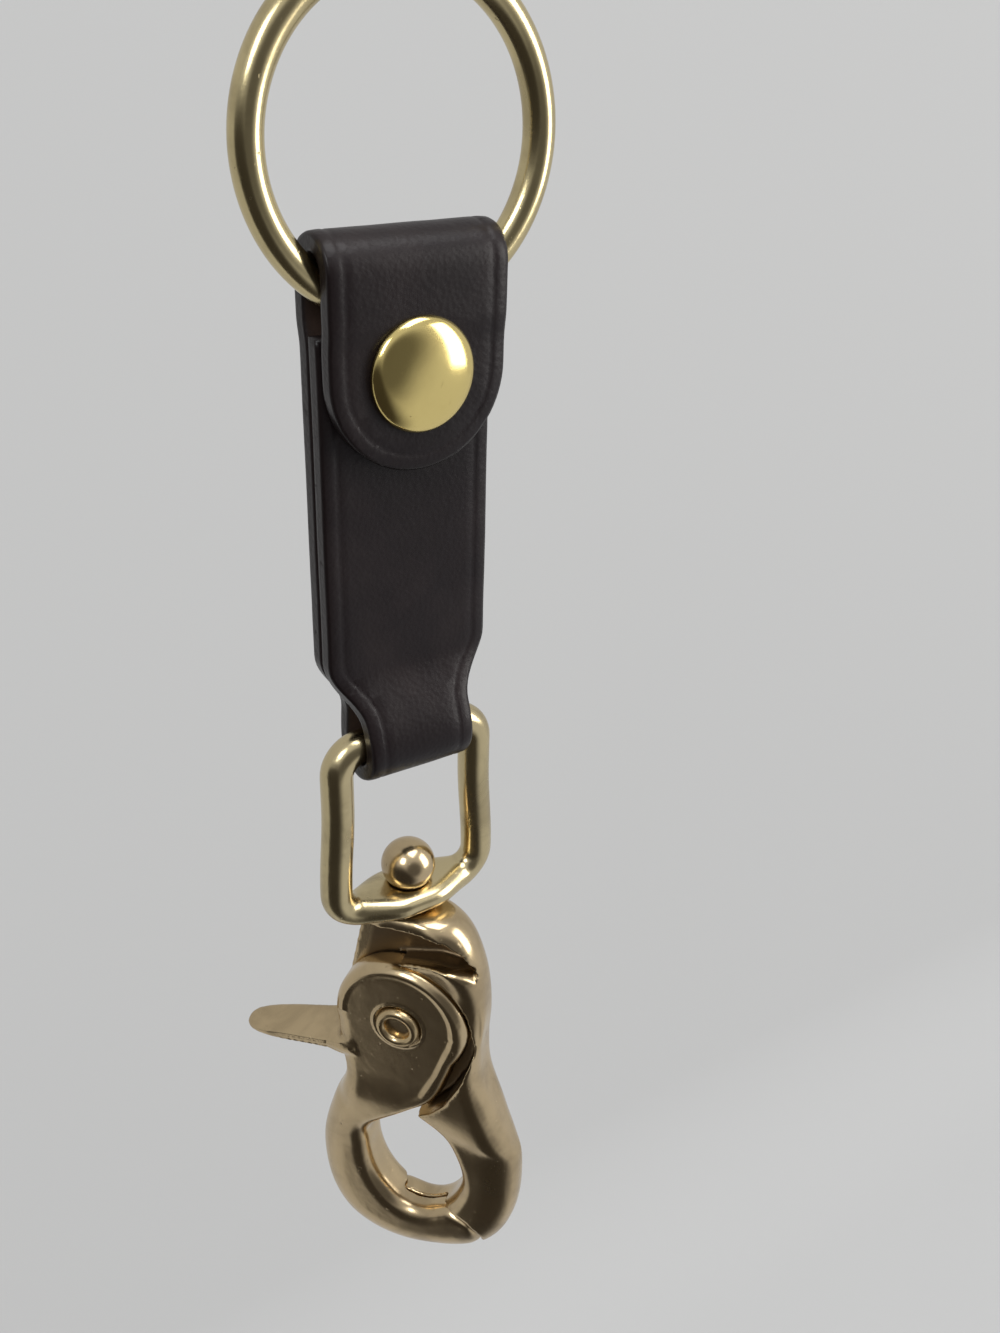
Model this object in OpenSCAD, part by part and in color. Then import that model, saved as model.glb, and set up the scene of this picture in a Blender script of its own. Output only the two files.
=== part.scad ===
// Belt key clip: a leather strap with a press-stud loop, a round key ring and a swivelling scissor snap hook.
// The origin is the centre of the key ring, +Z up as it hangs, the cap of the press stud faces -Y.

/* [Key ring] */
// Inside diameter of the key ring
ring_in_d = 35.6; // [26:0.2:45]
// Wire diameter of the key ring
ring_wire = 4.2; // [3:0.1:5]

/* [Leather strap] */
// Width of the strap
strap_w = 25.4; // [22:0.1:30]
// Thickness of the leather
leather_t = 2.6; // [2.4:0.1:3.2]
// From the centre of the fold at the ring to the centre of the fold at the eye
strap_l = 68.4; // [58:0.2:110]
// Clearance between the ring wire and the fold round it
ring_gap = 0.2; // [0.15:0.05:0.6]
// How far the back layer closes in below the ring
back_close = 0.6; // [0.2:0.05:0.9]
// How far the flap closes in below the ring
flap_close = 0.4; // [0.1:0.05:0.6]
// Seam between the two leather layers
seam = 0.1; // [0.05:0.05:0.4]
// Start of the shoulders, above the centre of the eye bar
shoulder_up = 14.6; // [13:0.1:20]
// Length of the S-shaped shoulders
shoulder_l = 10; // [7:0.2:11]
// Clearance between the leather and the limbs of the eye, each side
neck_gap = 1; // [0.4:0.1:2]
// Clearance of the bottom fold round the eye bar
bar_gap = 0.3; // [0.15:0.05:0.8]

/* [Flap] */
// From the centre of the fold at the ring to the end of the flap
flap_l = 25.6; // [24:0.1:32]
// Slit between the strap's fold and the flap that swings on it
flap_slit = 0.1; // [0.05:0.05:0.3]

/* [Press stud] */
// From the centre of the fold at the ring to the centre of the press stud
snap_drop = 12.8; // [12.6:0.1:16]
// Diameter of the cap
cap_d = 15; // [13.5:0.1:16]
// Height of the cap over the leather
cap_h = 2.6; // [1.8:0.1:3.4]
// Sheet thickness of the cap and of the two flanges
sheet_t = 0.45; // [0.3:0.05:0.6]
// Outside diameter of the socket
socket_d = 9.8; // [9:0.1:11]
// Outside diameter of the stud's base
stud_d = 8.4; // [7:0.1:8.8]
// Depth of the pockets that the socket and the stud sit in
pocket = 1.25; // [1:0.05:1.5]
// Diameter of the stud's knob
knob_d = 3.7; // [3.4:0.05:4]
// Stem diameter of the cap's post
cap_stem_d = 3; // [2:0.1:3.4]
// Stem diameter of the stud's post
stud_stem_d = 2.3; // [1.6:0.05:2.5]
// Diameter of the flange at the back of the strap
back_d = 9.6; // [8:0.1:12]
// Wire diameter of the socket's ring spring
socket_wire = 0.6; // [0.5:0.05:0.7]
// Clearance round the stud's knob inside the ring spring
knob_gap = 0.3; // [0.2:0.05:0.4]
// Clearance round a piece that sits in a pocket or a hole of the leather
fit_gap = 0.05; // [0.02:0.01:0.15]

/* [Swivel eye] */
// Wire diameter of the eye
eye_wire = 5; // [4:0.1:5.6]
// Width inside the eye at its top bar
eye_in_w = 18.8; // [16:0.2:24]
// Height of the eye between the centres of its two bars
eye_h = 29.7; // [26:0.1:40]
// How much wider each limb stands at the bottom
eye_flare = 0.8; // [0:0.1:2]
// Radius of the eye's corners at the centre of the wire
eye_corner = 4.2; // [3.4:0.1:6]
// Depth of the bottom bar round the pin
bar_d = 11; // [9:0.2:13]
// Height of the bottom bar
bar_h = 4.6; // [4:0.1:5.4]

/* [Swivel pin] */
// Diameter of the ball head
ball_d = 8.6; // [8:0.1:10]
// How deep the ball sits in the bottom bar
ball_seat = 1.4; // [0.6:0.1:1.8]
// Diameter of the pin
pin_d = 5.8; // [4:0.1:6.4]
// Running clearance of the swivel, on the radius
swivel_gap = 0.07; // [0.03:0.01:0.1]
// How deep the pin goes into the hook body
pin_in = 3.6; // [2.5:0.1:4]

/* [Snap hook] */
// Turn of the hook on its swivel
hook_turn = -52; // [-180:1:180]
// Thickness of the hook
hook_t = 10.6; // [9.8:0.1:12]
// Thickness of the loop round the opening
loop_t = 8.8; // [7.6:0.1:9.6]
// Clearance between the hook's two halves
half_gap = 0.2; // [0.1:0.02:0.4]
// Gap between the bottom bar and the top of the hook body
top_gap = 0.25; // [0.15:0.05:0.6]
// From the top of the hook body down to the rivet
pivot_drop = 22.6; // [21.5:0.1:26]
// Radius of the round plates at the rivet
plate_r = 11.9; // [10.5:0.1:12.2]
// Depth of the flat face inside the rim of the jaw's plate
face_in = 0.25; // [0.1:0.05:0.4]
// Clearance round the plates
plate_gap = 0.3; // [0.2:0.05:0.5]
// Widest gap between a web and the other half's limb
web_gap = 1.9; // [0.5:0.1:2]
// Rounding of the plate's rim
rim_r = 2.3; // [1:0.1:3]
// Width of the hook's opening
open_w = 18; // [15:0.2:20]
// Height of the hook's opening
open_h = 27.4; // [24:0.2:29]
// From the rivet down to the middle of the opening
open_drop = 32.4; // [31.4:0.2:35]
// Width of the closed hook
hook_w = 38; // [35:0.2:41]
// From the rivet down to the hook's lowest point
hook_l = 56.6; // [54:0.2:59]
// Rounding on the hook's inner edges
in_r = 2.8; // [1.4:0.1:3.2]
// Rounding on the hook's outer edges
out_r = 5.4; // [3:0.1:6]

/* [Thumb tab] */
// Length of the tab from the plate's rim
tab_l = 19.4; // [12:0.2:24]
// Width of the tab at its root
tab_w = 7.8; // [6:0.1:9]
// Width of the tab's round tip
tab_tip = 5.2; // [4:0.1:6]
// Thickness of the tab
tab_t = 1.9; // [1.4:0.1:3]
// Slope of the tab
tab_slope = 12; // [0:1:25]
// How far the tab's front edge is turned down
tab_twist = 14; // [0:1:25]

/* [Rivet and jaw spring] */
// Shank diameter of the rivet
rivet_d = 5.2; // [4:0.1:6]
// Diameter over the rivet's rolled end
roll_d = 8.8; // [8:0.1:10]
// Bore in the rivet's hollow end
rivet_bore = 4.4; // [2.6:0.1:4.5]
// Running clearance of the rivet in the jaw, on the radius
rivet_gap = 0.06; // [0.03:0.01:0.1]
// Wire diameter of the jaw spring
spring_wire = 0.8; // [0.6:0.05:0.9]
// Turns of the jaw spring
spring_turns = 2.25; // [1.25:0.5:2.25]

/* [Hidden] */
brass = [0.66, 0.52, 0.27];
leather = [0.13, 0.10, 0.09];
steel = [0.62, 0.62, 0.60];

ring_in_r = ring_in_d / 2;
ring_r = ring_in_r + ring_wire / 2;
half_w = strap_w / 2;
fold_r = ring_wire / 2 + ring_gap;
fold_z = ring_gap - fold_r - sqrt(pow(ring_in_r, 2) - pow(half_w, 2));
back_y = fold_r - back_close;
flap_y = -(fold_r - flap_close);
front_y = back_y - seam - leather_t;
lap_top = -ring_r - ring_wire / 2 - 0.5;
eye_z = fold_z - strap_l;
loop_r = eye_wire / 2 + bar_gap;
neck_w = eye_in_w - 2 * neck_gap;
snap_z = fold_z - snap_drop;

bar_z = eye_z - eye_h;
bar_top = bar_z + bar_h / 2;
bar_low = bar_z - bar_h / 2;
ball_z = bar_top - ball_seat + ball_d / 2;
pin_r = pin_d / 2;

top_z = bar_low - top_gap;
pivot_z = top_z - pivot_drop;
half_t = hook_t / 2;
in_c = [2, -open_drop];
out_c = [2.15, -open_drop - 0.6];
half_loop = loop_t / 2;
half_mid = (half_t + half_loop) / 2;
roll_seat = 0.4;
pocket_r = 5.4;
pocket_d = spring_wire * (1.06 * spring_turns + 1) + 0.35;

// ---- curves shared by the pieces ----

function mix(a, b, t) = a + (b - a) * t;
function ease(t) = (1 - cos(180 * t)) / 2;
function arc(c, r, a0, a1, n) =
  [for (i = [0:n]) let (a = mix(a0, a1, i / n)) [c[0] + r * cos(a), c[1] + r * sin(a)]];
function bend(y0, z0, y1, z1, n) = [for (i = [1:n]) [mix(y0, y1, ease(i / n)), mix(z0, z1, i / n)]];

// Direction of a curve at point i, and the curve moved sideways, with the direction e at both ends
function along(p, i) = let (a = p[max(i - 1, 0)], b = p[min(i + 1, len(p) - 1)]) (b - a) / norm(b - a);
function beside(p, d, e) = [for (i = [0:len(p) - 1])
  let (t = i == 0 || i == len(p) - 1 ? e : along(p, i)) p[i] + d * [-t[1], t[0]]];
function back(p) = [for (i = [len(p) - 1:-1:0]) p[i]];

// A strip of leather seen from its edge, as thick as the leather along the curve
module strip(p, e) {
  polygon(concat(beside(p, leather_t / 2, e), back(beside(p, -leather_t / 2, e))));
}

// Lays a drawing of Y against Z across the strap, and one of X against Z through it
module across(w) {
  rotate([90, 0, 90])
    translate([0, 0, -w / 2])
      linear_extrude(w)
        children();
}

module through(d) {
  translate([0, d / 2, 0])
    rotate([90, 0, 0])
      linear_extrude(d)
        children();
}

// Axis of the press stud: local z is the height towards the front
module at_snap() {
  translate([0, 0, snap_z])
    rotate([90, 0, 0])
      children();
}

// Frame of the hook: x across the hook, y from front to back, z up, zero at the rivet
module at_hook() {
  rotate([0, 0, hook_turn])
    translate([0, 0, pivot_z])
      children();
}

// Axis of the rivet: local z runs from front to back
module at_rivet() {
  at_hook()
    rotate([-90, 0, 0])
      children();
}

// ---- key ring ----

module key_ring() {
  color(brass)
    rotate([90, 0, 0])
      rotate_extrude($fn = 96)
        translate([ring_r, 0])
          circle(d = ring_wire, $fn = 24);
}

// ---- leather ----

mid_fold = fold_r + leather_t / 2;
mid_loop = loop_r + leather_t / 2;
mid_back = back_y + leather_t / 2;
mid_lap = front_y + leather_t / 2;

under_ring = -ring_r - 0.4;

strap_curve = concat(
  arc([0, fold_z], mid_fold, 180, 0, 16),
  [[mid_fold, under_ring]],
  bend(mid_fold, under_ring, mid_back, under_ring - 4, 6),
  bend(mid_back, eye_z + 12, mid_loop, eye_z, 8),
  back(arc([0, eye_z], mid_loop, -170, -10, 14)),
  [[-mid_loop, eye_z]],
  bend(-mid_loop, eye_z, mid_lap, eye_z + 13, 8),
  [[mid_lap, lap_top]]);

function shoulder(s) = [for (i = [0:10]) let (t = i / 10)
  [s * mix(half_w, neck_w / 2, ease(t)), eye_z + shoulder_up - shoulder_l * t]];

module strap_outline() {
  polygon(concat(
    [[half_w, 0]], shoulder(1), [[neck_w / 2, eye_z - 12], [-neck_w / 2, eye_z - 12]],
    back(shoulder(-1)), [[-half_w, 0]]));
}

module strap() {
  color(leather)
    difference() {
      intersection() {
        across(strap_w + 2)
          strip(strap_curve, [0, 1]);
        through(30)
          strap_outline();
      }
      at_snap() {
        translate([0, 0, -back_y - leather_t - 3])
          cylinder(d = back_d + 2 * fit_gap, h = 3, $fn = 48);
        translate([0, 0, -front_y - pocket])
          cylinder(d = stud_d + 2 * fit_gap, h = pocket + 1, $fn = 48);
        translate([0, 0, -mid_back - leather_t])
          cylinder(d = stud_stem_d + 2 * fit_gap, h = 2 * leather_t + 1, $fn = 32);
      }
    }
}

flap_end = fold_z - flap_l;
mid_flap = flap_y - leather_t / 2;
flap_curve = concat(
  [[-mid_fold, fold_z - flap_slit], [-mid_fold, under_ring]],
  bend(-mid_fold, under_ring, mid_flap, under_ring - 3, 6),
  [[mid_flap, flap_end]]);

module flap_outline() {
  translate([-half_w, flap_end + half_w])
    square([strap_w, flap_l - half_w + 1]);
  translate([0, flap_end + half_w])
    circle(r = half_w, $fn = 64);
}

module flap() {
  color(leather)
    difference() {
      intersection() {
        across(strap_w + 2)
          strip(flap_curve, [0, -1]);
        through(30)
          flap_outline();
      }
      at_snap() {
        translate([0, 0, -flap_y - 1])
          cylinder(d = socket_d + 2 * fit_gap, h = pocket + 1, $fn = 48);
        cylinder(d = cap_stem_d + 2 * fit_gap, h = 12, $fn = 32);
        translate([0, 0, leather_t - flap_y])
          cylinder(d = cap_d + 2 * fit_gap, h = 3, $fn = 64);
      }
    }
}

// ---- press stud ----

face_h = leather_t - flap_y;
cap_r = cap_d / 2;
lip_r = cap_r - 1.3;
socket_top = pocket - flap_y;
socket_low = -flap_y - 0.75;
lap_h = -front_y;
stud_floor = lap_h - pocket;
knob_h = stud_floor + 2.3;
knob_r = knob_d / 2;
hug_r = knob_r + knob_gap + socket_wire / 2;
hug_h = stud_floor + 1.9;

// Dome of the cap, seen from its edge, drawn in by t
function dome(t) = [for (i = [0:12]) let (a = 90 * i / 12)
  [(cap_r - t) * pow(cos(a), 0.8), face_h + 0.5 + (cap_h - 0.5 - t) * sin(a)]];

module snap_cap() {
  color(brass)
    at_snap()
      rotate_extrude($fn = 72)
        polygon(concat(
          [[lip_r, face_h], [cap_r - 0.35, face_h]], dome(0),
          back(dome(sheet_t)), [[cap_r - sheet_t, face_h + sheet_t], [lip_r, face_h + sheet_t]]));
}

module cap_post() {
  color(brass)
    at_snap()
      difference() {
        union() {
          translate([0, 0, face_h + sheet_t])
            cylinder(r = cap_r - sheet_t - 0.25, h = sheet_t, $fn = 64);
          translate([0, 0, socket_top - sheet_t])
            cylinder(d = cap_stem_d, h = face_h + 2 * sheet_t - socket_top, $fn = 32);
          translate([0, 0, socket_top - sheet_t - 0.3])
            cylinder(d = cap_stem_d + 1.5, h = 0.3, $fn = 40);
        }
        translate([0, 0, socket_low])
          cylinder(d = cap_stem_d - 1.2, h = face_h - socket_low, $fn = 24);
      }
}

module snap_socket() {
  color(brass)
    at_snap()
      rotate_extrude($fn = 56)
        difference() {
          polygon([[cap_stem_d / 2 + 0.02, socket_top], [socket_d / 2, socket_top],
            [socket_d / 2, socket_top - 0.4], [socket_d / 2 - 0.35, socket_top - 0.7],
            [socket_d / 2 - 0.7, socket_low + 0.3], [socket_d / 2 - 1, socket_low],
            [hug_r - 0.05, socket_low], [hug_r - 0.05, socket_low + 0.2],
            [hug_r + socket_wire / 2, hug_h - 0.3], [hug_r + socket_wire / 2, hug_h + 0.3],
            [hug_r + 0.1, hug_h + 0.4], [hug_r + 0.1, socket_top - sheet_t],
            [cap_stem_d / 2 + 0.02, socket_top - sheet_t]]);
          translate([hug_r, hug_h])
            circle(d = socket_wire, $fn = 16);
        }
}

module socket_spring() {
  color(steel)
    at_snap()
      rotate([0, 0, 15])
        rotate_extrude(angle = 330, $fn = 56)
          translate([hug_r, hug_h])
            circle(d = socket_wire, $fn = 16);
}

module snap_stud() {
  stem = stud_stem_d / 2 + 0.02;
  color(brass)
    at_snap()
      rotate_extrude($fn = 56)
        polygon([[stem, stud_floor], [stud_d / 2 - 0.3, stud_floor], [stud_d / 2, stud_floor + 0.3],
          [stud_d / 2 - 0.2, stud_floor + 0.6], [knob_r + 0.3, stud_floor + 0.6],
          [knob_r - 0.2, stud_floor + 0.8], [knob_r - 0.3, stud_floor + 1.2],
          [knob_r - 0.08, stud_floor + 1.6], [knob_r, stud_floor + 1.85], [knob_r - 0.12, stud_floor + 2.1],
          [knob_r - 0.4, knob_h], [stem, knob_h]]);
}

module stud_post() {
  back_h = -back_y - leather_t;
  color(brass)
    at_snap()
      difference() {
        union() {
          translate([0, 0, back_h])
            cylinder(d = stud_stem_d, h = knob_h - back_h, $fn = 32);
          translate([0, 0, knob_h])
            cylinder(d = stud_stem_d + 0.5, h = 0.15, $fn = 32);
          rotate_extrude($fn = 56)
            polygon(concat([[0, back_h], [back_d / 2, back_h]],
              [for (i = [0:6]) let (a = 15 * i) [mix(back_d / 2 - 1, back_d / 2, cos(a)),
                back_h - 0.2 - 0.6 * sin(a)]], [[0, back_h - 0.95]]));
        }
        translate([0, 0, back_h + 0.6])
          cylinder(d = stud_stem_d - 0.8, h = knob_h - back_h, $fn = 24);
      }
}

// ---- swivel eye and pin ----

eye_x = eye_in_w / 2 + eye_wire / 2;
low_x = eye_x + eye_flare;

// Ring of points round a wire or a flattened bar, half sizes a in the eye's plane and b through it
function oval(c, t, a, b, e) = [for (k = [0:19]) let (q = 18 * k,
    u = a * sign(cos(q)) * pow(abs(cos(q)), e), v = b * sign(sin(q)) * pow(abs(sin(q)), e))
  [c[0] - t[1] * u, v, c[1] + t[0] * u]];

// Path of the lower part of the eye: right limb, corner, bottom bar, then the mirror of it
limb_z = eye_z - eye_corner - 5;
low_right = concat(
  [[eye_x, limb_z]],
  [for (i = [1:5]) [mix(eye_x, low_x, ease(i / 5)), mix(limb_z, bar_z + eye_corner, i / 5)]],
  [for (i = [1:6]) let (a = -15 * i) [low_x - eye_corner + eye_corner * cos(a), bar_z + eye_corner + eye_corner * sin(a)]],
  [for (i = [1:5]) [(low_x - eye_corner) * (1 - i / 5), bar_z]]);
low_path = concat(low_right, [for (p = back(low_right)) if (p[0] > 0.01) [-p[0], p[1]]]);

// The bar grows from round wire to its full depth at the pin
function flat(x) = let (t = min(max((low_x - 0.8 - abs(x)) / (low_x - 3), 0), 1)) t * t * (3 - 2 * t);

module loft(rings, n) {
  m = len(rings);
  pts = [for (r = rings) each r];
  faces = concat(
    [[for (k = [0:n - 1]) k]],
    [for (j = [0:m - 2], k = [0:n - 1]) let (a = j * n + k, b = j * n + (k + 1) % n) [a, a + n, b]],
    [for (j = [0:m - 2], k = [0:n - 1]) let (a = j * n + k, b = j * n + (k + 1) % n) [a + n, b + n, b]],
    [[for (k = [n - 1:-1:0]) (m - 1) * n + k]]);
  polyhedron(pts, faces);
}

module swivel_eye() {
  color(brass)
    difference() {
      union() {
        translate([-eye_x + eye_corner, 0, eye_z])
          rotate([0, 90, 0])
            cylinder(d = eye_wire, h = 2 * (eye_x - eye_corner), $fn = 32);
        for (s = [0, 1])
          mirror([s, 0, 0]) {
            translate([eye_x - eye_corner, 0, eye_z - eye_corner])
              rotate([90, 0, 0])
                rotate_extrude(angle = 90, $fn = 48)
                  translate([eye_corner, 0])
                    circle(d = eye_wire, $fn = 32);
            translate([eye_x, 0, limb_z - 1])
              cylinder(d = eye_wire, h = eye_z - eye_corner - limb_z + 1, $fn = 32);
          }
        loft(back([for (i = [0:len(low_path) - 1]) let (f = flat(low_path[i][0]))
          oval(low_path[i], along(low_path, i), mix(eye_wire / 2 + 0.06, bar_h / 2, f),
            mix(eye_wire / 2 + 0.06, bar_d / 2, f), mix(1, 0.62, f))]), 20);
      }
      translate([0, 0, bar_low - 1])
        cylinder(r = pin_r + swivel_gap, h = bar_h + 2, $fn = 40);
      translate([0, 0, ball_z])
        sphere(r = ball_d / 2 + swivel_gap, $fn = 48);
    }
}

module swivel_pin() {
  color(brass)
    union() {
      translate([0, 0, ball_z])
        sphere(d = ball_d, $fn = 48);
      translate([0, 0, top_z - pin_in])
        cylinder(r = pin_r, h = ball_z - top_z + pin_in, $fn = 40);
    }
}

// ---- snap hook ----

// A row of the hook's outline: [inner x, z, outer x, z, inner rounding, outer rounding, half thickness]
function spline(a, b, c, d, t) =
  0.5 * (2 * b + (c - a) * t + (2 * a - 5 * b + 4 * c - d) * t * t + (3 * b - 3 * c + d - a) * t * t * t);
function dense(r, m) = concat(
  [for (i = [0:len(r) - 2], j = [0:m - 1])
    spline(r[max(i - 1, 0)], r[i], r[i + 1], r[min(i + 2, len(r) - 1)], j / m)],
  [r[len(r) - 1]]);

// Section of the hook: an oblong with quarter-oval corners, laid from the inner to the outer edge
function section(r) = let (l = norm([r[2] - r[0], r[3] - r[1]]), e = [r[2] - r[0], r[3] - r[1]] / l,
    d = r[6], i = min(r[4], 0.46 * l), o = min(r[5], 0.52 * l), di = min(r[4], 0.9 * d), do = min(r[5], 0.9 * d))
  [for (k = [0:19]) let (q = floor(k / 5), a = 22.5 * (k % 5),
      s = q == 0 ? l - o + o * cos(a) : q == 1 ? i - i * sin(a) : q == 2 ? i - i * cos(a) : l - o + o * sin(a),
      w = q == 0 ? d - do + do * sin(a) : q == 1 ? d - di + di * cos(a) : q == 2 ? di - d - di * sin(a)
        : do - d - do * cos(a))
    [r[0] + e[0] * s, w, r[1] + e[1] * s]];

// Edges of the opening and of the closed hook at angle a, as seen from the front
function sq(v, e) = sign(v) * pow(abs(v), e);
function in_edge(a) = [in_c[0] + open_w / 2 * cos(a), in_c[1] + open_h / 2 * sin(a)];
function out_edge(a) = [out_c[0] + hook_w / 2 * sq(cos(a), 0.87),
  out_c[1] + (hook_l + out_c[1]) * sq(sin(a), 0.87)];

// Row at angle a, drawn in to its middle line by the share t at a hook's tip
function row(a, b, t = 0, h = half_loop) = let (i = in_edge(a), o = out_edge(b), m = mix(i, o, 0.5),
    p = mix(i, m, t), q = mix(o, m, t)) [p[0], p[1], q[0], q[1], in_r, out_r, h];

jaw_rows = concat(
  [[11.4, -1.5, -11.6, -3.2, rim_r, rim_r, half_t],
   [8.9, -9.6, -11.1, -9.4, rim_r, rim_r, half_t],
   [6.3, -15.8, -10.8, -14.6, rim_r, 3, half_t],
   [1.2, -20.4, -12.2, -19.4, rim_r, 4, half_t]],
  [row(160, 158, 0, half_mid), row(182, 182), row(204, 205), row(224, 226), row(244, 246), row(264, 266), row(282, 285),
   row(298, 301), row(309, 310, 0.12), row(315, 316, 0.42), row(318, 318.5, 0.8)]);

body_rows = concat(
  [[-2.8, pivot_drop, 4.4, pivot_drop - 0.05, 3, 3, 3.3],
   [-5.6, pivot_drop - 1.2, 8.4, pivot_drop - 1.2, 4, 5, 4.6],
   [-8, pivot_drop - 4.4, 11.4, pivot_drop - 4.6, 4.6, 5.4, half_t],
   [-9.4, 12, 13.6, 11.4, 3, 5, half_t],
   [-10.8, 4.6, 14.2, 4, rim_r, 4.4, half_t],
   [-11.6, -3.2, 13.7, -3.6, rim_r, 3.6, half_t],
   [-9, -9.6, 14.3, -10.6, rim_r, 3.6, half_t],
   [-6.2, -15.4, 17.2, -18.4, rim_r, 4.4, half_t],
   [0.6, -19.2, 19.8, -25.2, in_r, out_r, half_mid]],
  [row(38, 8), row(14, -6), row(-8, -20), row(-28, -36), row(-48, -52), row(-68, -69), row(-86, -86),
   row(-102, -102), row(-112, -112, 0.12), row(-119, -118, 0.42), row(-123, -122, 0.8)]);

// Room for the other half's round plate, t on every side, and for its web, which opens as a wedge
module plate_room(s, t, d) {
  g = web_gap - t;
  mirror([s, 0, 0])
    rotate([90, 0, 0])
      translate([0, 0, -d]) {
        cylinder(r = plate_r + t, h = d, $fn = 96);
        linear_extrude(d)
          offset(delta = t)
            polygon([[0, 0], [plate_r, 0], [plate_r - 0.5 + 0.3 * g, -4], [6.3 + g, -15.6],
              [3.3 + g, -18.6], [-2 + g, -22.4], [-7.6, -22.4], [-8, -9]]);
      }
}

// Slot of a hook end in the other half's limb, t round the end's own outline
module end_room(rows, t, d) {
  rotate([90, 0, 0])
    translate([0, 0, -d])
      linear_extrude(d)
        offset(delta = t)
          polygon(concat([for (r = dense(rows, 2)) [r[0], r[1]]], back([for (r = dense(rows, 2)) [r[2], r[3]]])));
}

module hook_body() {
  color(brass)
    difference() {
      at_hook()
        difference() {
          union() {
            loft(back([for (r = dense(body_rows, 3)) section(r)]), 20);
            rotate([-90, 0, 0])
              translate([0, 0, half_gap / 2])
                rotate_extrude($fn = 72)
                  polygon(concat([[0, 0], [plate_r, 0]],
                    arc([plate_r - rim_r, half_t - half_gap / 2 - rim_r], rim_r, 0, 90, 5),
                    [[0, half_t - half_gap / 2]]));
          }
          front_room();
          rotate([-90, 0, 0])
            cylinder(d = rivet_d + 0.04, h = 20, center = true, $fn = 36);
          rotate([-90, 0, 0])
            translate([0, 0, -1])
              cylinder(r = pocket_r, h = 1 + half_gap / 2 + pocket_d, $fn = 48);
        }
      translate([0, 0, top_z - pin_in])
        cylinder(r = pin_r, h = pin_in + 2, $fn = 40);
    }
}

slot_top = pivot_drop - 6.4;
front_end = half_gap / 2;

// All that the front half and the slot over its plate take out of the body
module front_room() {
  translate([0, front_end - 20, 0]) {
    plate_room(0, plate_gap, 20);
    rotate([90, 0, 0])
      translate([0, 0, -20])
        linear_extrude(20)
          polygon([[-40, 0], [-40, slot_top + 0.8], [-6.4, slot_top + 0.8], [3, slot_top],
            [9, slot_top - 0.6], [12.9, slot_top - 4.6], [12.6, 6], [plate_r, 0]]);
    translate([-40, 0, -60])
      cube([40, 20, 61]);
    end_room([for (i = [8:14]) jaw_rows[i]], plate_gap, 20);
  }
}

// All that the back half takes out of the jaw
module back_room() {
  translate([0, -front_end, 0]) {
    plate_room(1, plate_gap, 20);
    translate([0, 0, -60])
      cube([40, 20, 61]);
    end_room([for (i = [14:19]) body_rows[i]], plate_gap, 20);
  }
}

tab_root = plate_r - 2.5;
tab_z = -7.4;

module thumb_tab() {
  tip = tab_tip / 2;
  side = [[-1, tab_w / 2 + 0.8], [3.2, tab_w / 2 + 0.4], [5.4, tab_w / 2], [0.6 * tab_l, mix(tip, tab_w / 2, 0.8)]];
  translate([-tab_root, -0.9, tab_z])
    rotate([-tab_twist, tab_slope, 180])
      translate([0, 0, -tab_t / 2])
        linear_extrude(tab_t)
          polygon(concat(back(side), [for (p = side) [p[0], -p[1]]],
            arc([tab_l + 2.5 - tip, 0], tip, -80, 80, 10)));
}

// The flat face of the jaw's plate and web, inside their rounded rim
module flat_face() {
  r = plate_r - rim_r - 0.3;
  rotate([90, 0, 0])
    translate([0, 0, half_t - face_in]) {
      cylinder(r = r, h = 2, $fn = 72);
      linear_extrude(2)
        polygon([[0, 0], [r, 0], [7.6, -8.2], [3.9, -15.4], [1, -18], [-4.8, -19.2], [-8.6, -17.6], [-8.7, -8]]);
    }
}

module trigger_jaw() {
  color(brass)
    at_hook()
      difference() {
        union() {
          difference() {
            union() {
              loft([for (r = dense(jaw_rows, 3)) section(r)], 20);
              thumb_tab();
            }
            back_room();
          }
          rotate([-90, 0, 0])
            translate([0, 0, -half_t])
              rotate_extrude($fn = 72)
                polygon(concat([[0, 0]], arc([plate_r - rim_r, rim_r], rim_r, -90, 0, 5),
                  [[plate_r, half_t - front_end], [0, half_t - front_end]]));
        }
        rotate([-90, 0, 0])
          cylinder(r = rivet_d / 2 + rivet_gap, h = 20, center = true, $fn = 36);
        rotate([-90, 0, 0])
          translate([0, 0, -half_t - 1])
            cylinder(d = roll_d + 0.8, h = 1 + roll_seat, $fn = 56);
        flat_face();
      }
}

// ---- rivet and jaw spring ----

roll_low = -half_t + roll_seat - rivet_gap;

module pivot_rivet() {
  shank = rivet_d / 2;
  bore = rivet_bore / 2;
  rr = roll_d / 2;
  crest = (rr - bore) / 2;
  color(brass)
    at_rivet()
      rotate_extrude($fn = 48)
        polygon(concat(
          [[0, roll_low + 4], [bore, roll_low + 3.4]],
          [for (i = [0:8]) let (a = 180 - 22.5 * i)
            [rr - crest + crest * cos(a), roll_low - 1.15 * crest * sin(a)]],
          [[shank, roll_low], [shank, half_t], [rr - 0.4, half_t]],
          arc([rr - 0.6, half_t + 0.1], 0.6, 0, 90, 4),
          [[0, half_t + 0.9]]));
}

// Helix of the spring wire round the rivet, with a leg out into the body's pocket
coil_r = (rivet_d / 2 + pocket_r) / 2;

module jaw_spring() {
  n = floor(spring_turns * 20);
  step = 360 / 20;
  pitch = spring_wire * 1.06;
  color(steel)
    at_rivet()
      translate([0, 0, half_gap / 2 + spring_wire / 2 + 0.12])
        loft(back([for (i = [0:n]) let (a = i * step)
          [for (k = [0:7]) let (b = 45 * k, r = coil_r + spring_wire / 2 * cos(b))
            [r * cos(a), r * sin(a), pitch * i / 20 + spring_wire / 2 * sin(b)]]]), 8);
}

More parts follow.
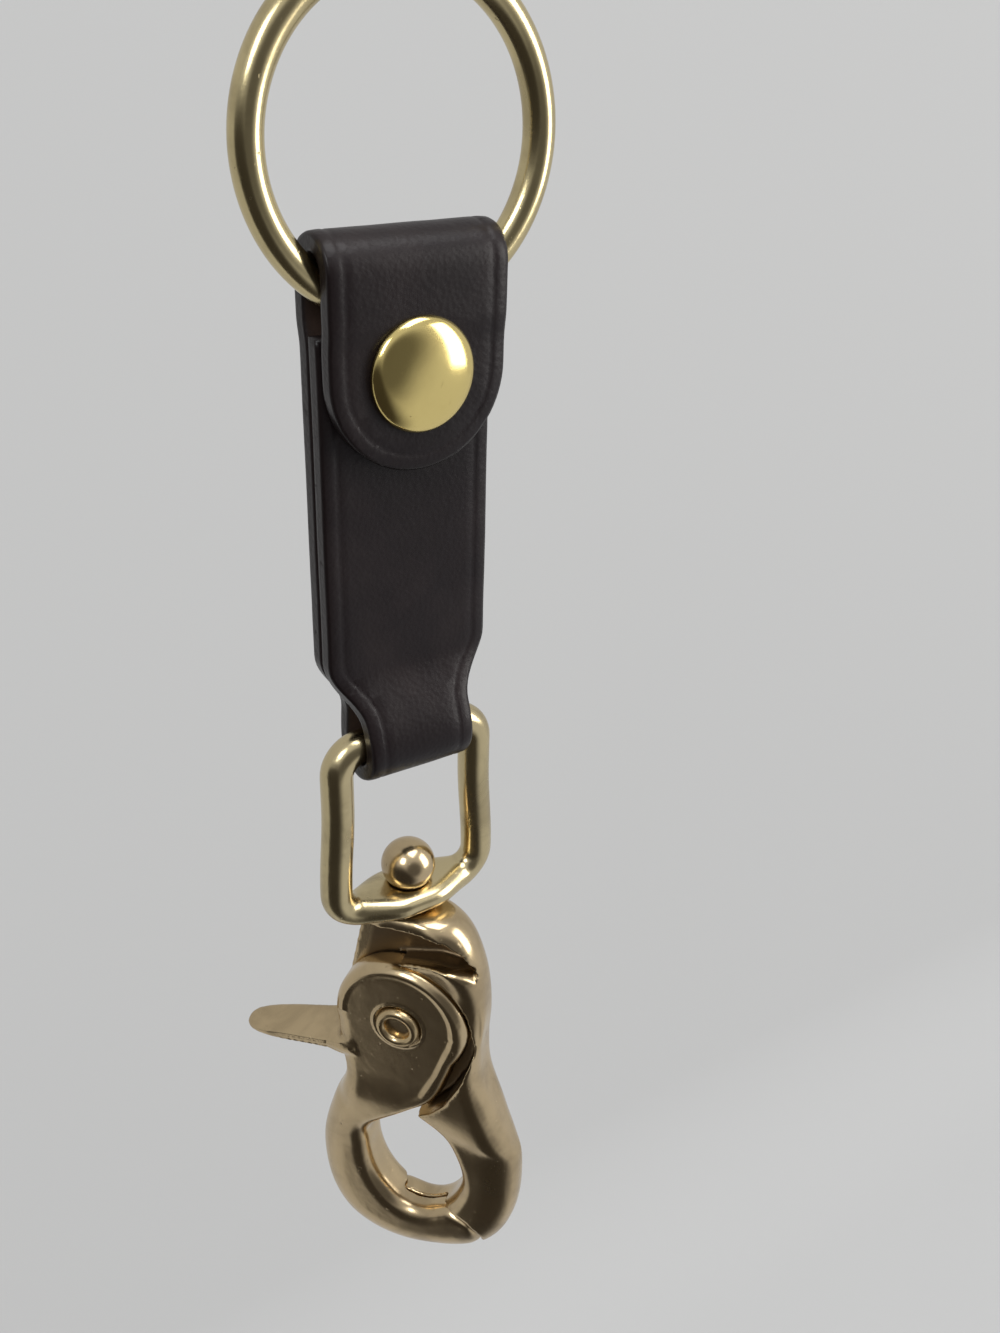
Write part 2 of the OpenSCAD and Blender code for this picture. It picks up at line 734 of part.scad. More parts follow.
key_ring();
strap();
flap();
snap_cap();
cap_post();
snap_socket();
socket_spring();
snap_stud();
stud_post();
swivel_eye();
swivel_pin();
hook_body();
trigger_jaw();
pivot_rivet();
jaw_spring();
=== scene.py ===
# %% [markdown]
# # Belt key clip
# A dark leather strap is folded over a brass key ring at the top and round a brass eye at the
# bottom. A press stud closes its flap, and a scissor snap hook swivels under the eye. This lesson
# builds the looks of the clip over the imported model, which stays as it is: every new piece but
# the leather flap rides on one of its bodies. All sizes are in millimetres in the functions and
# become metres when a piece is finished.

# %% Load the imported model
import math
import bmesh
import bpy
import numpy as np
from mathutils import Matrix, Vector, noise
from mathutils.bvhtree import BVHTree


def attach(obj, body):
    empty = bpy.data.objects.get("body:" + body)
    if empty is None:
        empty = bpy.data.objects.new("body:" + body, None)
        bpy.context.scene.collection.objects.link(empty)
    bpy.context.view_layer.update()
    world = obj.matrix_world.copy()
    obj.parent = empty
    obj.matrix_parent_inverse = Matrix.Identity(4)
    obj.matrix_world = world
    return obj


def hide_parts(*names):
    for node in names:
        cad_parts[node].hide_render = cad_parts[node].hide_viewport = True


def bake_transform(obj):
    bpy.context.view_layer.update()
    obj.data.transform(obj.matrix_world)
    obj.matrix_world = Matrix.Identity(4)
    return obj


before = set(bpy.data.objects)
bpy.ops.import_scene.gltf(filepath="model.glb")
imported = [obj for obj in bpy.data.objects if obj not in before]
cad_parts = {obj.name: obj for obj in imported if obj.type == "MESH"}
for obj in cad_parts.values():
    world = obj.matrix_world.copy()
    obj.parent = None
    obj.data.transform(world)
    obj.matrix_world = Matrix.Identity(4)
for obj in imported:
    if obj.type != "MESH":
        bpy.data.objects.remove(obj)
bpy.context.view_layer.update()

MM = 0.001
FULL = 2 * math.pi
QUARTER = math.pi / 2

# %% [markdown]
# ## Camera
# The photograph looks down on the hanging clip from the front left. The camera's place and its
# three directions come from a fit of the ring, the strap and the cap to the photograph, so they
# are set as a matrix, not by aiming.

# %% Camera
RIGHT = Vector((0.8375, -0.5456, 0.0267))
UP = Vector((0.2423, 0.4149, 0.8770))
BACK = RIGHT.cross(UP).normalized()
CAMERA_AT = (-0.08111, -0.14508, 0.01921)
camera_data = bpy.data.cameras.new("photo_camera")
camera_data.sensor_width = 36.0
camera_data.lens = 35.0
camera_data.clip_start = 0.005
camera = bpy.data.objects.new("photo_camera", camera_data)
bpy.context.collection.objects.link(camera)
turn = Matrix((RIGHT, UP, BACK)).transposed().to_4x4()
camera.matrix_world = Matrix.Translation(CAMERA_AT) @ turn
bpy.context.scene.camera = camera
print("camera at", [round(v, 4) for v in camera.matrix_world.translation])

# %% [markdown]
# ## Helpers for pieces
# Most pieces are built in the same few ways. A turned piece is a profile that is spun round its
# axis. A cast piece is a loft: rings of vertices that bridge_loops joins. Every piece ends with
# its place in its mesh and its object at the origin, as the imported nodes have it.

# %% Finish a piece
def new_piece(name, bm, material, place=Matrix.Identity(4)):
    bmesh.ops.transform(bm, matrix=Matrix.Scale(MM, 4) @ place, verts=bm.verts)
    mesh = bpy.data.meshes.new(name)
    bm.to_mesh(mesh)
    bm.free()
    mesh.shade_smooth()
    piece = bpy.data.objects.new(name, mesh)
    bpy.context.collection.objects.link(piece)
    if material:
        mesh.materials.append(material)
    return piece


def settle(piece, body, slot, *nodes):
    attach(piece, body)
    if nodes:
        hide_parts(*nodes)
    print(piece.name, len(piece.data.polygons), "faces, rides on", body)


# %% Small sums: a soft step, a soft half wave, a signed power
def smooth(t):
    t = min(max(t, 0.0), 1.0)
    return t * t * (3 - 2 * t)


def half_wave(i, n):
    return (1 - math.cos(math.pi * i / n)) / 2


def power(v, e):
    return math.copysign(abs(v) ** e, v)


# %% Parts of a mesh
def open_edges(bm):
    return [e for e in bm.edges if e.is_boundary]


def verts_of(geom):
    return [v for v in geom if isinstance(v, bmesh.types.BMVert)]


def wire_circle(segments, radius, at):
    """The round section of a wire, standing on the XZ plane, to be spun round Z."""
    bm = bmesh.new()
    bmesh.ops.create_circle(bm, segments=segments, radius=radius)
    bmesh.ops.rotate(bm, verts=bm.verts, cent=(0, 0, 0),
                     matrix=Matrix.Rotation(QUARTER, 3, "X"))
    bmesh.ops.translate(bm, verts=bm.verts, vec=at)
    return bm


# %% Turn a profile round the local Z axis
def turned(profile, steps):
    bm = bmesh.new()
    verts = [bm.verts.new((r, 0, h)) for r, h in profile]
    edges = [bm.edges.new(pair) for pair in zip(verts, verts[1:])]
    bmesh.ops.spin(bm, geom=verts + edges, cent=(0, 0, 0), axis=(0, 0, 1), angle=FULL,
                   steps=steps, use_merge=True)
    bmesh.ops.remove_doubles(bm, verts=bm.verts, dist=1e-4)
    bmesh.ops.recalc_face_normals(bm, faces=bm.faces)
    return bm


def arc(cx, cy, r, a0, a1, n):
    return [(cx + r * math.cos(math.radians(a0 + (a1 - a0) * i / n)),
             cy + r * math.sin(math.radians(a0 + (a1 - a0) * i / n))) for i in range(n + 1)]


# %% Join rings of vertices into one skin
def loft(rings, closed=False):
    bm = bmesh.new()
    loops = []
    for ring in rings:
        verts = [bm.verts.new(p) for p in ring]
        loops.append([bm.edges.new((verts[i - 1], verts[i])) for i in range(len(verts))])
    ends = loops[1:] + loops[:1] if closed else loops[1:]
    for a, b in zip(loops, ends):
        bmesh.ops.bridge_loops(bm, edges=a + b)
    if not closed:
        bmesh.ops.holes_fill(bm, edges=loops[0] + loops[-1], sides=0)
    bmesh.ops.recalc_face_normals(bm, faces=bm.faces)
    return bm


# %% [markdown]
# ## Casting
# The hook and the eye are cast brass, tumbled and polished, so none of their edges is sharp. A
# piece is joined or cut with Boolean modifiers, then a voxel remesh turns it into one even skin,
# and a little smoothing rounds every edge.

# %% Cut, remesh and smooth a cast piece
def skin_of(piece):
    return BVHTree.FromObject(piece, bpy.context.evaluated_depsgraph_get())


def tool(name, bm, place):
    piece = new_piece(name, bm, None, place)
    piece.hide_render = True
    return piece


def cast(piece, joins=(), cuts=(), voxel=0.3, rounds=4):
    for operation, tools in (("UNION", joins), ("DIFFERENCE", cuts)):
        for t in tools:
            m = piece.modifiers.new(t.name, "BOOLEAN")
            m.operation, m.object, m.solver = operation, t, "EXACT"
    if voxel:
        m = piece.modifiers.new("skin", "REMESH")
        m.mode, m.voxel_size = "VOXEL", voxel * MM
    m = piece.modifiers.new("tumbled", "SMOOTH")
    m.factor, m.iterations = 0.5, rounds
    depsgraph = bpy.context.evaluated_depsgraph_get()
    mesh = bpy.data.meshes.new_from_object(piece.evaluated_get(depsgraph))
    piece.modifiers.clear()
    old = piece.data
    piece.data = mesh
    bpy.data.meshes.remove(old)
    for t in list(joins) + list(cuts):
        bpy.data.objects.remove(t)
    mesh.shade_smooth()


# %% Read one value of every vertex of a mesh
def read_verts(mesh, what):
    values = np.empty(len(mesh.vertices) * 3)
    mesh.vertices.foreach_get(what, values)
    return values.reshape(-1, 3)


# %% Painted shade: darken the brass where it bends inwards and where it lies deep in slots and gaps
SPREAD_ROUNDS = 14
BEND_TO_SHADE = 90
UNDER_FROM, UNDER_OVER = 1.3, 1.5


def mark_hollows(piece, skin=None):
    """Sets a painted shade value on every vertex from how far it bends inwards, and, where the
    uncut skin is given, from how deep it lies under that skin."""
    mesh = piece.data
    count = len(mesh.vertices)
    place, normal = read_verts(mesh, "co") / MM, read_verts(mesh, "normal")
    ends = np.empty(len(mesh.edges) * 2, dtype=np.int32)
    mesh.edges.foreach_get("vertices", ends)
    a, b = ends[0::2], ends[1::2]
    degree = np.bincount(ends, minlength=count)

    def around(values):
        total = np.zeros_like(values)
        np.add.at(total, a, values[b])
        np.add.at(total, b, values[a])
        return total / (degree[:, None] if values.ndim == 2 else degree)

    hollow = ((around(place) - place) * normal).sum(axis=1)
    for _ in range(SPREAD_ROUNDS):
        hollow = (hollow + around(hollow)) / 2
    hollow = np.clip(hollow * BEND_TO_SHADE, 0.0, 1.0)
    for i, p in enumerate(place * MM if skin else ()):
        p = Vector(p)
        near, out = skin.find_nearest(p)[:2]
        under = (near - p).dot(out) / MM
        hollow[i] = max(hollow[i], smooth((under - UNDER_FROM) / UNDER_OVER))
    mesh.attributes.new("hollow", "FLOAT", "POINT").data.foreach_set("value", hollow)
    share = 100 * float((hollow > 0.3).mean())
    print(piece.name, "hollow on", round(share, 1), "% of its skin")


# %% [markdown]
# ## Finishes
# The same cast or drawn brass shows in several places, each with its own polish and age, so the
# marks of wear are one node group that each material places with its own values. It reads Object
# coordinates in metres, so its scales are marks per metre. The leather has a grain group of its
# own.

# %% Node helpers
def new_material(name):
    material = bpy.data.materials.new(name)
    material.use_nodes = True
    return material, material.node_tree, material.node_tree.nodes["Principled BSDF"]


def add(tree, kind, x, y, **settings):
    n = tree.nodes.new(kind)
    n.location = (x, y)
    for key, value in settings.items():
        setattr(n, key, value)
    return n


def group_tree(name, inputs, outputs):
    tree = bpy.data.node_groups.new(name, "ShaderNodeTree")
    for label, kind, value in inputs:
        s = tree.interface.new_socket(label, in_out="INPUT", socket_type=kind)
        if value is not None:
            s.default_value = value
    for label in outputs:
        tree.interface.new_socket(label, in_out="OUTPUT", socket_type="NodeSocketFloat")
    return tree, add(tree, "NodeGroupInput", -900, 0), add(tree, "NodeGroupOutput", 500, 0)


def noise_of(tree, vector, scale, detail, x, y, roughness=0.55, distortion=0.0):
    n = add(tree, "ShaderNodeTexNoise", x, y)
    for label, v in (("Scale", scale), ("Detail", detail), ("Roughness", roughness),
                     ("Distortion", distortion)):
        n.inputs[label].default_value = v
    tree.links.new(vector, n.inputs["Vector"])
    return n.outputs["Fac"]


def ramp_of(tree, value, low, high, x, y, out_low=0.0, out_high=1.0):
    n = add(tree, "ShaderNodeMapRange", x, y, interpolation_type="SMOOTHSTEP")
    for label, v in (("From Min", low), ("From Max", high), ("To Min", out_low),
                     ("To Max", out_high)):
        n.inputs[label].default_value = v
    tree.links.new(value, n.inputs["Value"])
    return n.outputs["Result"]


def maths(tree, operation, a, b, x, y):
    n = add(tree, "ShaderNodeMath", x, y, operation=operation)
    for i, v in enumerate((a, b)):
        if isinstance(v, (int, float)):
            n.inputs[i].default_value = v
        else:
            tree.links.new(v, n.inputs[i])
    return n.outputs[0]


def colour_mix(tree, factor, a, b, x, y):
    """Mixes two colours, each a tuple or another node's output."""
    n = add(tree, "ShaderNodeMix", x, y, data_type="RGBA")
    tree.links.new(factor, n.inputs["Factor"])
    for label, v in (("A", a), ("B", b)):
        if isinstance(v, tuple):
            n.inputs[label].default_value = (*v, 1)
        else:
            tree.links.new(v, n.inputs[label])
    return n.outputs["Result"]


def shader_mix(tree, factor, a, b, x, y):
    n = add(tree, "ShaderNodeMixShader", x, y)
    for socket, v in zip(n.inputs, (factor, a, b)):
        tree.links.new(v, socket)
    return n.outputs["Shader"]


def attribute(tree, name, x, y):
    return add(tree, "ShaderNodeAttribute", x, y, attribute_name=name).outputs["Fac"]


def raise_skin(tree, shader, height, strength, relief):
    bump = add(tree, "ShaderNodeBump", -300, -300)
    bump.inputs["Strength"].default_value = strength
    bump.inputs["Distance"].default_value = relief * MM
    tree.links.new(height, bump.inputs["Height"])
    tree.links.new(bump.outputs["Normal"], shader.inputs["Normal"])


# %% Marks of wear on brass: dull stains, fine pits and hairline scratches
marks, marks_in, marks_out = group_tree(
    "brass_marks",
    [("Vector", "NodeSocketVector", None), ("Stain Amount", "NodeSocketFloat", 0.5),
     ("Pit Amount", "NodeSocketFloat", 0.3)],
    ("Stain", "Specks", "Height"))
where = marks_in.outputs["Vector"]
clouds = noise_of(marks, where, 95, 5, -600, 200, 0.6, 0.4)
clouds = ramp_of(marks, clouds, 0.42, 0.72, -350, 200)
stain = maths(marks, "MULTIPLY", clouds, marks_in.outputs["Stain Amount"], -100, 200)
specks = ramp_of(marks, noise_of(marks, where, 900, 3, -600, 0, 0.7), 0.66, 0.76, -350, 0)
specks = maths(marks, "MULTIPLY", specks, marks_in.outputs["Pit Amount"], -100, 0)
waves = noise_of(marks, where, 240, 3, -600, -200, 0.5)
stretch = add(marks, "ShaderNodeMapping", -800, -400)
stretch.inputs["Rotation"].default_value = (0.5, 0.35, 0.9)
stretch.inputs["Scale"].default_value = (0.12, 1.0, 1.0)
marks.links.new(where, stretch.inputs["Vector"])
hairs = noise_of(marks, stretch.outputs["Vector"], 2600, 2, -600, -400, 0.6)
height = maths(marks, "MULTIPLY", waves, 0.8, -100, -200)
height = maths(marks, "SUBTRACT", height, specks, 100, -100)
height = maths(marks, "ADD", height, maths(marks, "MULTIPLY", hairs, 0.05, -100, -400),
               300, -200)
for value, label in ((stain, "Stain"), (specks, "Specks"), (height, "Height")):
    marks.links.new(value, marks_out.inputs[label])
print("group", marks.name, "outputs", [s.name for s in marks_out.inputs if s.name])


# %% Brass in its polishes
DULLING = 0.22
BRASS_BUMP = 0.35


def brass(name, colour, stain_and_shade_colour, roughness, stain_amount, pit_amount, relief):
    """Bright colour, colour where it is stained or in painted shade, roughness, amounts of stain
    and pits, and the height of the unevenness in mm."""
    material, tree, shader = new_material(name)
    shader.inputs["Metallic"].default_value = 1.0
    place = add(tree, "ShaderNodeTexCoord", -1100, 0)
    wear = add(tree, "ShaderNodeGroup", -850, 0, node_tree=marks)
    wear.inputs["Stain Amount"].default_value = stain_amount
    wear.inputs["Pit Amount"].default_value = pit_amount
    tree.links.new(place.outputs["Object"], wear.inputs["Vector"])
    # Stains and pits are real wear; the hollow value adds painted shade in hollows and deep slots
    stain_and_shade = maths(tree, "MAXIMUM", wear.outputs["Stain"], wear.outputs["Specks"], -750, 60)
    stain_and_shade = maths(tree, "MAXIMUM", stain_and_shade, attribute(tree, "hollow", -950, -150), -600, 60)
    tree.links.new(colour_mix(tree, stain_and_shade, colour, stain_and_shade_colour, -500, 200), shader.inputs["Base Color"])
    tree.links.new(ramp_of(tree, stain_and_shade, 0, 1, -400, -50, roughness, roughness + DULLING),
                   shader.inputs["Roughness"])
    raise_skin(tree, shader, wear.outputs["Height"], BRASS_BUMP, relief)
    return material


ring_brass = brass("ring_brass", (0.62, 0.52, 0.29), (0.26, 0.20, 0.11), 0.20, 0.45, 0.7, 0.10)
cap_brass = brass("cap_brass", (0.80, 0.64, 0.25), (0.42, 0.30, 0.10), 0.14, 0.30, 0.5, 0.06)
eye_brass = brass("eye_brass", (0.60, 0.50, 0.29), (0.24, 0.19, 0.11), 0.22, 0.45, 0.5, 0.16)
hook_brass = brass("hook_brass", (0.58, 0.45, 0.27), (0.20, 0.145, 0.085), 0.20, 0.40, 0.6, 0.16)
rivet_brass = brass("rivet_brass", (0.60, 0.46, 0.26), (0.20, 0.14, 0.08), 0.24, 0.50, 0.6, 0.12)
spring_steel = brass("spring_wire", (0.56, 0.56, 0.54), (0.25, 0.24, 0.22), 0.28, 0.30, 0.3, 0.04)
print("metal finishes:", [m.name for m in bpy.data.materials])

# %% [markdown]
# ## Leather
# Bridle leather is nearly black-brown, waxed and smooth on the outside, with faint pebbling, dull
# scuffs and a few long creases where it was bent. Its cut edges are burnished: darker and shinier
# than the face. The mesh carries an "edge" value, 1 on the cut edge and 0 on the face, and a
# "rough_side" value for the flesh side.

# %% Grain of the leather
grain, grain_in, grain_out = group_tree(
    "leather_grain", [("Vector", "NodeSocketVector", None)], ("Tone", "Scuff", "Height"))
where = grain_in.outputs["Vector"]
cells = add(grain, "ShaderNodeTexVoronoi", -600, -200, feature="SMOOTH_F1")
cells.inputs["Scale"].default_value = 1500
cells.inputs["Smoothness"].default_value = 0.6
grain.links.new(where, cells.inputs["Vector"])
pebbles = maths(grain, "MULTIPLY", cells.outputs["Distance"], 0.5, -350, -200)
creases = noise_of(grain, where, 130, 6, -600, 0, 0.65, 0.8)
height = maths(grain, "ADD", pebbles, maths(grain, "MULTIPLY", creases, 1.6, -350, -50),
               -100, -100)
tone = noise_of(grain, where, 60, 4, -600, 300, 0.6, 0.3)
scuff = noise_of(grain, where, 300, 5, -600, 150, 0.7, 1.2)
scuff = ramp_of(grain, scuff, 0.55, 0.75, -350, 150)
for value, label in ((tone, "Tone"), (scuff, "Scuff"), (height, "Height")):
    grain.links.new(value, grain_out.inputs[label])
print("group", grain.name, "outputs", [s.name for s in grain_out.inputs if s.name])

# %% Bridle leather
LEATHER_BUMP = 0.45
GRAIN_RELIEF = 0.12
leather, tree, shader = new_material("bridle_leather")
place = add(tree, "ShaderNodeTexCoord", -1200, 0)
hide = add(tree, "ShaderNodeGroup", -1000, 0, node_tree=grain)
tree.links.new(place.outputs["Object"], hide.inputs["Vector"])
edge = attribute(tree, "edge", -1200, -300)
flesh = attribute(tree, "rough_side", -1200, -500)
tone = ramp_of(tree, hide.outputs["Tone"], 0.35, 0.7, -850, 300)
face_tint = colour_mix(tree, tone, (0.0105, 0.0070, 0.0076), (0.017, 0.0118, 0.0121), -700, 300)
with_flesh = colour_mix(tree, flesh, face_tint, (0.055, 0.034, 0.026), -500, 300)
with_edge = colour_mix(tree, edge, with_flesh, (0.012, 0.008, 0.008), -300, 300)
tree.links.new(with_edge, shader.inputs["Base Color"])
rough = maths(tree, "ADD", ramp_of(tree, hide.outputs["Scuff"], 0, 1, -700, 0, 0.40, 0.62),
              maths(tree, "MULTIPLY", flesh, 0.25, -700, -150), -500, 0)
rough = maths(tree, "SUBTRACT", rough, maths(tree, "MULTIPLY", edge, 0.08, -500, -200), -300, 0)
tree.links.new(rough, shader.inputs["Roughness"])
raise_skin(tree, shader, hide.outputs["Height"], LEATHER_BUMP, GRAIN_RELIEF)
shader.inputs["Specular IOR Level"].default_value = 0.22
print("leather material has", len(tree.nodes), "nodes")

# %% [markdown]
# ## Key ring
# A welded ring of round drawn wire. Spinning a circle round the ring's centre gives the exact
# torus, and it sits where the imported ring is.

# %% Key ring
RING_IN = 17.8
RING_WIRE = 4.2
bm = wire_circle(32, RING_WIRE / 2, (RING_IN + RING_WIRE / 2, 0, 0))
bmesh.ops.spin(bm, geom=bm.verts[:] + bm.edges[:], cent=(0, 0, 0), axis=(0, 0, 1), angle=FULL,
               steps=160, use_merge=True)
bmesh.ops.remove_doubles(bm, verts=bm.verts, dist=1e-4)
bmesh.ops.recalc_face_normals(bm, faces=bm.faces)
ring = new_piece("ring_of_drawn_wire", bm, ring_brass, Matrix.Rotation(QUARTER, 4, "X"))
settle(ring, "ring", "brass", "key_ring")

# %% [markdown]
# ## Leather strip
# The strap and the flap are one strip, so it is cut as a flat pattern first, like the real one: a
# round flap end, long straight sides, and a narrow neck that goes through the eye. Insets round
# the edge press in the crease line that the maker runs along it. Then the pattern is cut across
# at close steps and bent along the strap's curve.

# %% Curve of the strip, seen from its edge: distance along it, place and direction
LEATHER = 2.6
HALF = 12.7
FOLD_Z = -14.572
EYE_Z = -82.972
FLAP_END = FOLD_Z - 25.6
LAP_END = -22.5
UNDER_RING = -20.3
RING_ROOM, EYE_ROOM = 2.3, 2.8
BACK_FACE, LAP_FACE, FLAP_FACE = 1.7, -1.0, -1.9
RING_BEND, BACK_BEND, LAP_BEND = 4, 12, 13
fold = RING_ROOM + LEATHER / 2
loop = EYE_ROOM + LEATHER / 2
back_y = BACK_FACE + LEATHER / 2
lap_y = LAP_FACE + LEATHER / 2
flap_y = FLAP_FACE - LEATHER / 2


def bend(y0, z0, y1, z1, n=24):
    return [(y0 + (y1 - y0) * half_wave(i, n), z0 + (z1 - z0) * i / n) for i in range(n + 1)]


curve = ([(flap_y, FLAP_END)] + bend(flap_y, UNDER_RING - RING_BEND, -fold, UNDER_RING)
         + arc(0, FOLD_Z, fold, 180, 0, 60)
         + bend(fold, UNDER_RING, back_y, UNDER_RING - RING_BEND)
         + bend(back_y, EYE_Z + BACK_BEND, loop, EYE_Z)
         + arc(0, EYE_Z, loop, 0, -180, 60)[1:]
         + bend(-loop, EYE_Z, lap_y, EYE_Z + LAP_BEND)[1:] + [(lap_y, LAP_END)])
curve = [Vector(p) for p in curve]
reach = [0.0]
for a, b in zip(curve, curve[1:]):
    reach.append(reach[-1] + (b - a).length)
print("strip of leather is", round(reach[-1], 1), "mm long")


def on_curve(s):
    """Place on the curve at distance s, and the direction out of the strip there."""
    s = min(max(s, 0.0), reach[-1])
    i = next(k for k in range(1, len(reach)) if reach[k] >= s - 1e-9)
    t = (s - reach[i - 1]) / max(reach[i] - reach[i - 1], 1e-9)

    def direction(k):
        return (curve[min(k + 1, len(curve) - 1)] - curve[max(k - 1, 0)]).normalized()

    d = direction(i - 1).lerp(direction(i), t).normalized()
    p = curve[i - 1].lerp(curve[i], t)
    return p, Vector((-d.y, d.x))


def reach_at(z, after):
    """Distance along the curve where it first passes height z, from a distance on."""
    for k in range(len(curve) - 1):
        z0, z1 = curve[k].y, curve[k + 1].y
        if reach[k] >= after and z0 != z1 and min(z0, z1) <= z <= max(z0, z1):
            return reach[k] + (z - z0) / (z1 - z0) * (reach[k + 1] - reach[k])


# %% Flat pattern of the strip
NECK = 8.4
SHOULDER_TOP, SHOULDER_LOW = 14.6, 4.6
ROUNDED_EDGE = ((0.22, 1.0), (0.45, 1.22), (0.9, 1.3))
CREASE = ((0.5, 1.3), (0.35, 1.2), (0.35, 1.3))
EDGE_SHADE = (1.0, 0.45)
EDGE_HALF = 0.62
crown = reach[max(range(len(curve)), key=lambda k: curve[k].y)]
under = reach[min(range(len(curve)), key=lambda k: curve[k].y)]
down_0, down_1 = (reach_at(EYE_Z + up, crown) for up in (SHOULDER_TOP, SHOULDER_LOW))
up_1, up_0 = (reach_at(EYE_Z + up, under) for up in (SHOULDER_LOW, SHOULDER_TOP))
side = [(HALF - HALF * math.cos(a), HALF * math.sin(a))
        for a in (QUARTER * i / 20 for i in range(1, 21))]
for s0, s1, w0, w1 in ((down_0, down_1, HALF, NECK), (up_1, up_0, NECK, HALF)):
    side += [(s0 + (s1 - s0) * i / 12, w0 + (w1 - w0) * half_wave(i, 12)) for i in range(13)]
side.append((reach[-1], HALF))
print("shoulders from", round(down_0, 1), "to", round(up_0, 1), "mm along the strip")


def flat_pattern():
    """The whole strip lying flat: x along it, y across it, z through its thickness."""
    bm = bmesh.new()
    edge = bm.verts.layers.float.new("edge")
    rough = bm.verts.layers.float.new("rough_side")
    outline = [(0.0, 0.0)] + side + [(s, -w) for s, w in reversed(side)]
    for top in (1, -1):
        face = bm.faces.new([bm.verts.new((s, w, 0)) for s, w in outline])
        for v in face.verts:
            v[edge] = 1.0
            v.co.z = EDGE_HALF * top
        steps = ROUNDED_EDGE + CREASE if top > 0 else ROUNDED_EDGE
        for step, (width, level) in enumerate(steps):
            bmesh.ops.inset_region(bm, faces=[face], thickness=width, use_even_offset=True,
                                   use_boundary=True)
            for v in face.verts:
                v.co.z = level * top
                v[edge] = EDGE_SHADE[step] if step < len(EDGE_SHADE) else 0.0
                if top < 0 and step > 0:
                    v[rough] = 1.0
    bmesh.ops.bridge_loops(bm, edges=open_edges(bm))
    bmesh.ops.recalc_face_normals(bm, faces=bm.faces)
    return bm


def cut_across(bm, places, normal):
    for p in places:
        bmesh.ops.bisect_plane(bm, geom=bm.verts[:] + bm.edges[:] + bm.faces[:], dist=1e-4,
                               plane_co=normal * p, plane_no=normal)


def keep_between(bm, low, high):
    for p, sign in ((low, -1), (high, 1)):
        if p is None:
            continue
        bmesh.ops.bisect_plane(bm, geom=bm.verts[:] + bm.edges[:] + bm.faces[:], dist=1e-4,
                               plane_co=(p, 0, 0), plane_no=(sign, 0, 0), clear_outer=True)
        bmesh.ops.holes_fill(bm, edges=open_edges(bm), sides=0)


# %% Bend a stretch of the pattern along the strip's curve
CLOSE_STEP, WIDE_STEP = 0.45, 1.4
ALONG, ACROSS = Vector((1, 0, 0)), Vector((0, 1, 0))


def steps_between(low, high):
    places, s = [], low
    while s < high:
        turning = on_curve(s)[1].angle(on_curve(s + 0.6)[1], 0.0)
        s += CLOSE_STEP if turning > 0.02 else WIDE_STEP
        places.append(s)
    return places


def bent(low, high):
    bm = flat_pattern()
    keep_between(bm, low, high)
    cut_across(bm, steps_between(low or 0, high or reach[-1])[:-1], ALONG)
    cut_across(bm, [-9 + 2.25 * i for i in range(9)], ACROSS)
    for v in bm.verts:
        s, x, n = v.co
        p, out = on_curve(s)
        wave = (0.10 * noise.noise(Vector((s * 0.09, x * 0.11, 3.0)))
                + 0.04 * noise.noise(Vector((s * 0.3, x * 0.3, 9))))
        p = p + out * (n + wave)
        v.co = Vector((x, p.x, p.y))
    bmesh.ops.recalc_face_normals(bm, faces=bm.faces)
    return bm


split = crown + math.radians(60) * fold
print("the strip is parted behind its top fold at", round(split, 1), "mm")
flap_piece = new_piece("leather_flap", bent(None, split), leather)
strap_piece = new_piece("leather_strap", bent(split, None), leather)

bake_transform(flap_piece)
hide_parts("flap")
settle(strap_piece, "strap_body", "leather", "strap")

# %% [markdown]
# ## Press stud
# The cap, the socket, the stud and their posts are turned or pressed round one axis, so each is a
# spun profile. Local height runs towards the front of the strap.

# %% Press stud
SNAP_Z = FOLD_Z - 12.8
AT_SNAP = Matrix.Translation((0, 0, SNAP_Z)) @ Matrix.Rotation(QUARTER, 4, "X")
FACE = 4.5
CAP_R = 7.5
CAP_H = 2.6
CAP_RIM = 0.5
CAP_WALL = 0.45
CAP_MOUTH = 6.2


def dome(inset, n=22):
    return [((CAP_R - inset) * math.cos(QUARTER * i / n) ** 0.8,
             FACE + CAP_RIM + (CAP_H - CAP_RIM - inset) * math.sin(QUARTER * i / n))
            for i in range(n)] + [(0, FACE + CAP_H - inset)]


cap = new_piece("snap_cap_shell", turned(
    [(CAP_MOUTH, FACE + CAP_WALL), (CAP_MOUTH, FACE), (CAP_R - CAP_WALL, FACE),
     (CAP_R - 0.15, FACE + 0.12)] + dome(0) + dome(CAP_WALL)[::-1]
    + [(CAP_MOUTH, FACE + CAP_WALL)], 128), cap_brass, AT_SNAP)
settle(cap, "flap_body", "brass", "snap_cap")

cap_stem = [(0, 5.4), (6.8, 5.4), (6.8, 4.95), (1.5, 4.95), (1.5, 2.7), (2.25, 2.65),
            (2.25, 2.42), (0.9, 2.4), (0.9, 4.4), (0, 4.4)]
socket = ([(1.52, 3.15), (4.9, 3.15), (4.9, 2.75), (4.55, 2.45)]
          + arc(3.6, 1.75, 0.6, 30, -90, 8)
          + [(2.4, 1.15), (2.4, 1.35), (2.75, 1.42), (2.75, 2.0), (2.55, 2.1), (2.55, 2.7),
             (1.52, 2.7), (1.52, 3.15)])
stud = ([(1.17, -0.25), (3.9, -0.25)] + arc(3.95, 0.05, 0.25, -60, 90, 6)
        + arc(2.05, 0.75, 0.4, -90, -180, 6) + arc(1.35, 1.55, 0.5, -40, 90, 8)
        + [(1.17, 2.05), (1.17, -0.25)])
stud_stem = ([(0, 1.9), (0.75, 1.9), (0.8, 2.05)] + arc(1.1, 2.06, 0.14, 150, 0, 6)
             + [(1.15, 1.95), (1.15, -4.3), (4.8, -4.3)]
             + [(3.8 + math.cos(a), -4.5 - 0.6 * math.sin(a))
                for a in (QUARTER * i / 8 for i in range(9))] + [(0, -5.25)])
